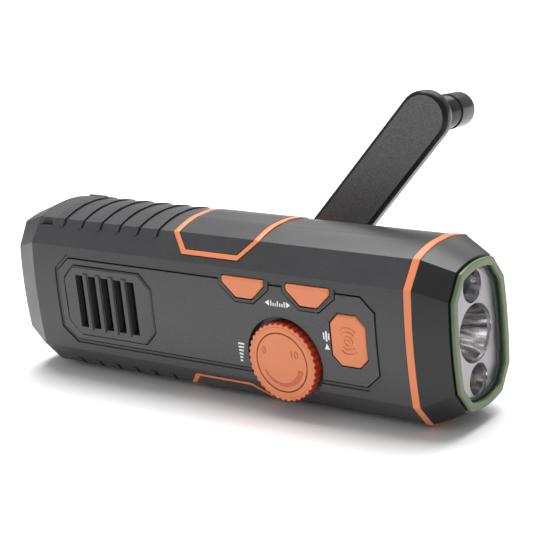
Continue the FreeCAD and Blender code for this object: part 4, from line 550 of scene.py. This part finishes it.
HUB_R, HUB_LONG, HUB_BORE_R, HUB_FLOOR = 5.0, 3.8, 3.05, 0.4
hub = lathe([(0, 0), (HUB_R, 0), (HUB_R, HUB_LONG), (HUB_BORE_R, HUB_LONG), (HUB_BORE_R, HUB_FLOOR),
             (0, HUB_FLOOR)], (DIAL_X, DIAL_BACK - 0.02, DIAL_Z), (0, 1, 0), steps=64)
settle("dial_hub", hub, rim_plastic, "volume_dial", "orange")
FACE_TOP, FACE_SUNK, FACE_R, FACE_CHAMFER = RIM_FRONT_DROP - 0.12, 0.1, 11.9, 0.3
GROOVE_R, GROOVE_HALF, GROOVE_FLOOR_HALF = 9.9, 0.35, 0.15
face_disc = lathe([(0, -FACE_SUNK), (FACE_R, -FACE_SUNK), (FACE_R, 0.02),
                   (FACE_R - FACE_CHAMFER, FACE_TOP), (GROOVE_R + GROOVE_HALF, FACE_TOP),
                   (GROOVE_R + GROOVE_FLOOR_HALF, 0), (GROOVE_R - GROOVE_FLOOR_HALF, 0),
                   (GROOVE_R - GROOVE_HALF, FACE_TOP), (0, FACE_TOP)],
                  (DIAL_X, DIAL_FRONT + RIM_FRONT_DROP, DIAL_Z), (0, -1, 0), steps=120)
smooth(settle("dial_face", face_disc, orange_plastic, "volume_dial", "orange"), 20)
ARC_RADIUS, ARC_FROM, ARC_TO, ARC_PIECES = 7.6, 205, 345, 28
ARC_HALF, ARC_GROWTH, ARC_THICK = 0.2, 0.75, 0.13
deep_orange = plastic("deep_orange", (0.60, 0.115, 0.045), (0.54, 0.10, 0.04), 0.4, worn=1.2)
arc = bmesh.new()
rungs = []
for i in range(ARC_PIECES + 1):
    angle = math.radians(ARC_FROM + (ARC_TO - ARC_FROM) * i / ARC_PIECES)
    half = ARC_HALF + ARC_GROWTH * i / ARC_PIECES
    rungs.append([arc.verts.new(((ARC_RADIUS + side * half) * math.cos(angle), 0,
                                 (ARC_RADIUS + side * half) * math.sin(angle))) for side in (-1, 1)])
for lower, upper in zip(rungs, rungs[1:]):
    arc.faces.new((lower[0], lower[1], upper[1], upper[0]))
grown = bmesh.ops.extrude_face_region(arc, geom=arc.faces[:])
raised = [v for v in grown["geom"] if isinstance(v, bmesh.types.BMVert)]
bmesh.ops.translate(arc, verts=raised, vec=(0, -ARC_THICK, 0))
bmesh.ops.recalc_face_normals(arc, faces=arc.faces)
FACE_Y = DIAL_FRONT + RIM_FRONT_DROP - FACE_TOP
pose = Matrix.Scale(MM, 4) @ Matrix.Translation((DIAL_X, FACE_Y + 0.01, DIAL_Z))
bmesh.ops.transform(arc, matrix=pose, verts=arc.verts)
settle("dial_volume_arc", arc, deep_orange, "volume_dial", "orange")
DIGIT_TALL, DIGIT_HALF = 3.6, 0.06
for digits, x, z in (("0", -6.6, 3.4), ("10", 5.2, 3.2)):
    letters = bpy.data.curves.new("dial_digits", "FONT")
    letters.body = digits
    letters.size = DIGIT_TALL
    letters.extrude = DIGIT_HALF
    letters.align_x, letters.align_y = "CENTER", "CENTER"
    source = bpy.data.objects.new("digits_source", letters)
    scene.collection.objects.link(source)
    bpy.context.view_layer.update()
    solid = bpy.data.meshes.new_from_object(source)
    number = bmesh.new()
    number.from_mesh(solid)
    bpy.data.objects.remove(source)
    bmesh.ops.remove_doubles(number, verts=number.verts, dist=0.001)
    placed = Matrix.Translation((DIAL_X + x, FACE_Y - DIGIT_HALF / 2, DIAL_Z + z))
    pose = Matrix.Scale(MM, 4) @ placed @ Matrix.Rotation(math.pi / 2, 4, "X")
    bmesh.ops.transform(number, matrix=pose, verts=number.verts)
    settle("dial_number_" + digits, number, deep_orange, "volume_dial", "orange")
black_plastic = plastic("black_plastic", (0.012, 0.012, 0.013), (0.008, 0.008, 0.009), 0.5)
wear(black_plastic, "potentiometer")

# ---------------------------------------------------------------- boards, switches, battery, aerial
# Inside are glass-fibre boards with a green mask, natural nylon tact switches, a wrapped
# lithium pack, and a ferrite rod with an enamelled copper winding.
wear(board_green, "main_board", "port_board", "light_board")
nylon = plastic("natural_nylon", (0.70, 0.68, 0.60), (0.62, 0.60, 0.52), 0.5)
wear(nylon, "tact_switches", "light_switch", "charge_riser")
wear(plastic("battery_wrap", (0.05, 0.10, 0.35), (0.04, 0.08, 0.28), 0.3), "battery")
wear(black_plastic, "ferrite_rod")
copper = metal("copper_wire", (0.72, 0.33, 0.18), (0.50, 0.20, 0.10), 0.35, brush=0.6, relief=0.05)
wear(copper, "antenna_coil")

# ---------------------------------------------------------------- gears and bushes
# The rotor's pinion and the crank's bush are turned brass. The crank gear and the idler are
# moulded nylon, and the idler runs on a steel shaft in the gearbox plate.
brass = metal("turned_brass", (0.75, 0.55, 0.26), (0.62, 0.44, 0.20), 0.3)
wear(brass, "generator_pinion", "hub_bush")
wear(nylon, "crank_gear", "idler_gear")

# ---------------------------------------------------------------- crank hub and arm
# The hub is the shells' plastic. The arm is a glass-filled nylon bar with a grained face and
# polished flanks, and it folds on a steel pin between the hub's ears. The flanks are painted
# near-black as painted shade for the sides turned from the light, and their edges are painted up to three
# times lighter.
wear(saddle_plastic, "crank_hub")
joints = {joint["name"]: joint for joint in frame["record"]["behaviour"]["joints"]}
knob_place = Vector(joints["knob_spin"]["pos_m"]) / MM
knob_axis = Vector(joints["knob_spin"]["axis"])
arm_face = plastic("arm_face_plastic", (0.108, 0.107, 0.112), (0.092, 0.091, 0.095), 0.42, grain=0.4,
                   relief=0.03, speckle_and_glints=0.5)
# Painted shade: the flanks are the face's plastic painted near-black where they turn from the light.
arm_shaded_flank = plastic("arm_flank_painted_shade", (0.010, 0.010, 0.011), (0.007, 0.007, 0.008), 0.24,
                    relief=0.004, worn=3.0, Specular_IOR_Level=0.2)
arm = merged_copy("crank_arm", 0.25)
for face in arm.faces:
    face.material_index = 0 if abs(face.normal.dot(knob_axis)) > 0.98 else 1
arm_piece = settle("crank_arm_bar", arm, arm_face, "crank_arm", "arm", arm_shaded_flank)
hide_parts("crank_arm")

# ---------------------------------------------------------------- crank knob
# The knob is a polished black grip that spins on a headed steel pin. A shadow groove parts its
# neck from the slightly wider pad, and a flat cap closes its end.
knob_gloss = plastic("knob_gloss", (0.012, 0.012, 0.013), (0.009, 0.009, 0.010), 0.22, relief=0.002,
                     Specular_IOR_Level=0.25)
KNOB_START, KNOB_LONG, NECK_LONG, NECK_R, PAD_R = 2.7, 24.5, 13.0, 5.65, 5.98
BORE_R, CAP_R, CAP_DEEP, END_ROUND = 2.05, 3.3, 4.0, 2.2
FOOT_NARROW, NECK_TAPER, FOOT_ROUND, GAP_DEEP, GAP_EDGE, GAP_LONG = 1.3, 1.0, 0.6, 0.45, 0.3, 0.35
END = KNOB_START + KNOB_LONG
GAP_FROM = KNOB_START + NECK_LONG
neck = [(BORE_R, KNOB_START), (NECK_R - FOOT_NARROW, KNOB_START),
        (NECK_R - NECK_TAPER, KNOB_START + FOOT_ROUND), (NECK_R, GAP_FROM - GAP_EDGE),
        (NECK_R - GAP_DEEP, GAP_FROM), (NECK_R - GAP_DEEP, GAP_FROM + GAP_LONG),
        (PAD_R, GAP_FROM + GAP_LONG + GAP_DEEP)]
pad_end = [(PAD_R - END_ROUND + END_ROUND * math.cos(math.radians(a)),
            END - END_ROUND + END_ROUND * math.sin(math.radians(a))) for a in range(0, 91, 15)]
cap_seat = [(CAP_R, END), (CAP_R, END - CAP_DEEP), (BORE_R, END - CAP_DEEP), (BORE_R, KNOB_START)]
grip = lathe(neck + pad_end + cap_seat, knob_place, knob_axis)
grip_piece = smooth(settle("knob_grip", grip, knob_gloss, "crank_knob", "knob"))
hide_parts("crank_knob")
wear(knob_gloss, "knob_cap")

# ---------------------------------------------------------------- port cover
# A moulded dark rubber cover closes the two sockets in the upper side near the tail. It is
# hinged on a steel pin and has a finger scoop at its free edge.
rubber = plastic("cover_rubber", (0.040, 0.040, 0.041), (0.032, 0.032, 0.033), 0.6, grain=0.3,
                 relief=0.02)
wear(rubber, "port_cover")

# ---------------------------------------------------------------- solar panel
# Dark blue silicon cells are laminated under clear film and bonded into the back face. Fine
# silver bars are printed across them, with a wider one between cells.
solar_cells, tree, shader, place = new_finish("solar_cells")
split = add(tree, "SeparateXYZ", Vector=place)
CELL, BUS_WIDE, FINGER_PITCH, FINGER_WIDE = 9.0, 0.35, 2.25, 0.12
lines = []
for axis, pitch, width in (("X", CELL, BUS_WIDE), ("Z", FINGER_PITCH, FINGER_WIDE)):
    step = math_of(tree, "FRACT", math_of(tree, "DIVIDE", split.outputs[axis], pitch * MM), 0)
    lines.append(math_of(tree, "LESS_THAN", step, width / pitch))
grid = math_of(tree, "MAXIMUM", *lines)
crystal = ramp(tree, noise(tree, place, 3, 3.0), (0.35, (0.010, 0.014, 0.045)),
               (0.65, (0.018, 0.026, 0.075)))
tree.links.new(mixed(tree, grid, crystal, (0.35, 0.36, 0.38)), shader.inputs["Base Color"])
shader.inputs["Roughness"].default_value = 0.25
shader.inputs["Coat Weight"].default_value = 0.8
wear(solar_cells, "solar_panel")

# ---------------------------------------------------------------- studio
# A plain white painted floor stands under even white light. One wide softbox hangs over the
# object, with a weak one behind it and a weak one in front.
floor_mesh = bmesh.new()
bmesh.ops.create_grid(floor_mesh, x_segments=1, y_segments=1, size=4.0)
bmesh.ops.translate(floor_mesh, verts=floor_mesh.verts, vec=(0, 0, -0.0002))
floor_data = bpy.data.meshes.new("floor")
floor_mesh.to_mesh(floor_data)
floor = bpy.data.objects.new("floor", floor_data)
scene.collection.objects.link(floor)
floor_paint, tree, shader, place = new_finish("floor_paint")
shader.inputs["Roughness"].default_value = 0.9
tree.links.new(ramp(tree, noise(tree, place, 500), (0.3, grey(0.93)), (0.7, grey(0.95))),
               shader.inputs["Base Color"])
floor_data.materials.append(floor_paint)

scene.view_settings.view_transform = "Standard"
world = bpy.data.worlds.new("studio")
scene.world = world
world.use_nodes = True
world.node_tree.nodes["Background"].inputs["Color"].default_value = (1, 1, 1, 1)
world.node_tree.nodes["Background"].inputs["Strength"].default_value = 0.5


def softbox(name, place, aim, width, height, power):
    """A rectangular lamp of this width and height, turned towards a point."""
    light = bpy.data.lights.new(name, "AREA")
    light.shape = "RECTANGLE"
    light.size, light.size_y = width, height
    light.energy = power
    lamp = bpy.data.objects.new(name, light)
    lamp.location = place
    lamp.rotation_euler = (Vector(aim) - Vector(place)).to_track_quat("-Z", "Y").to_euler()
    scene.collection.objects.link(lamp)


AIM = (0.0, 0.0, 0.03)
softbox("top_light", (-0.1, 0.45, 1.5), AIM, 1.5, 1.1, 42.0)
softbox("rim_light", (-0.4, 1.1, 0.75), AIM, 0.9, 0.5, 2.5)
softbox("front_light", (-0.9, -0.9, 0.6), AIM, 0.6, 0.6, 0.8)

EYE = (0.36507, -0.44039, 0.21638)
AZIMUTH, ELEVATION, ROLL = 0.6803, 0.2983, -0.1077
back = Vector((math.sin(AZIMUTH) * math.cos(ELEVATION), -math.cos(AZIMUTH) * math.cos(ELEVATION),
               math.sin(ELEVATION)))
right = Vector((math.cos(AZIMUTH), math.sin(AZIMUTH), 0))
up = back.cross(right)
rolled_right = math.cos(ROLL) * right + math.sin(ROLL) * up
rolled_up = -math.sin(ROLL) * right + math.cos(ROLL) * up
lens = bpy.data.cameras.new("camera")
lens.lens = 121.64
lens.sensor_width = 36.0
lens.clip_start, lens.clip_end = 0.01, 20.0
camera = bpy.data.objects.new("camera", lens)
turned = Matrix((rolled_right, rolled_up, back)).transposed().to_4x4()
camera.matrix_world = Matrix.Translation(EYE) @ turned
scene.collection.objects.link(camera)
scene.camera = camera
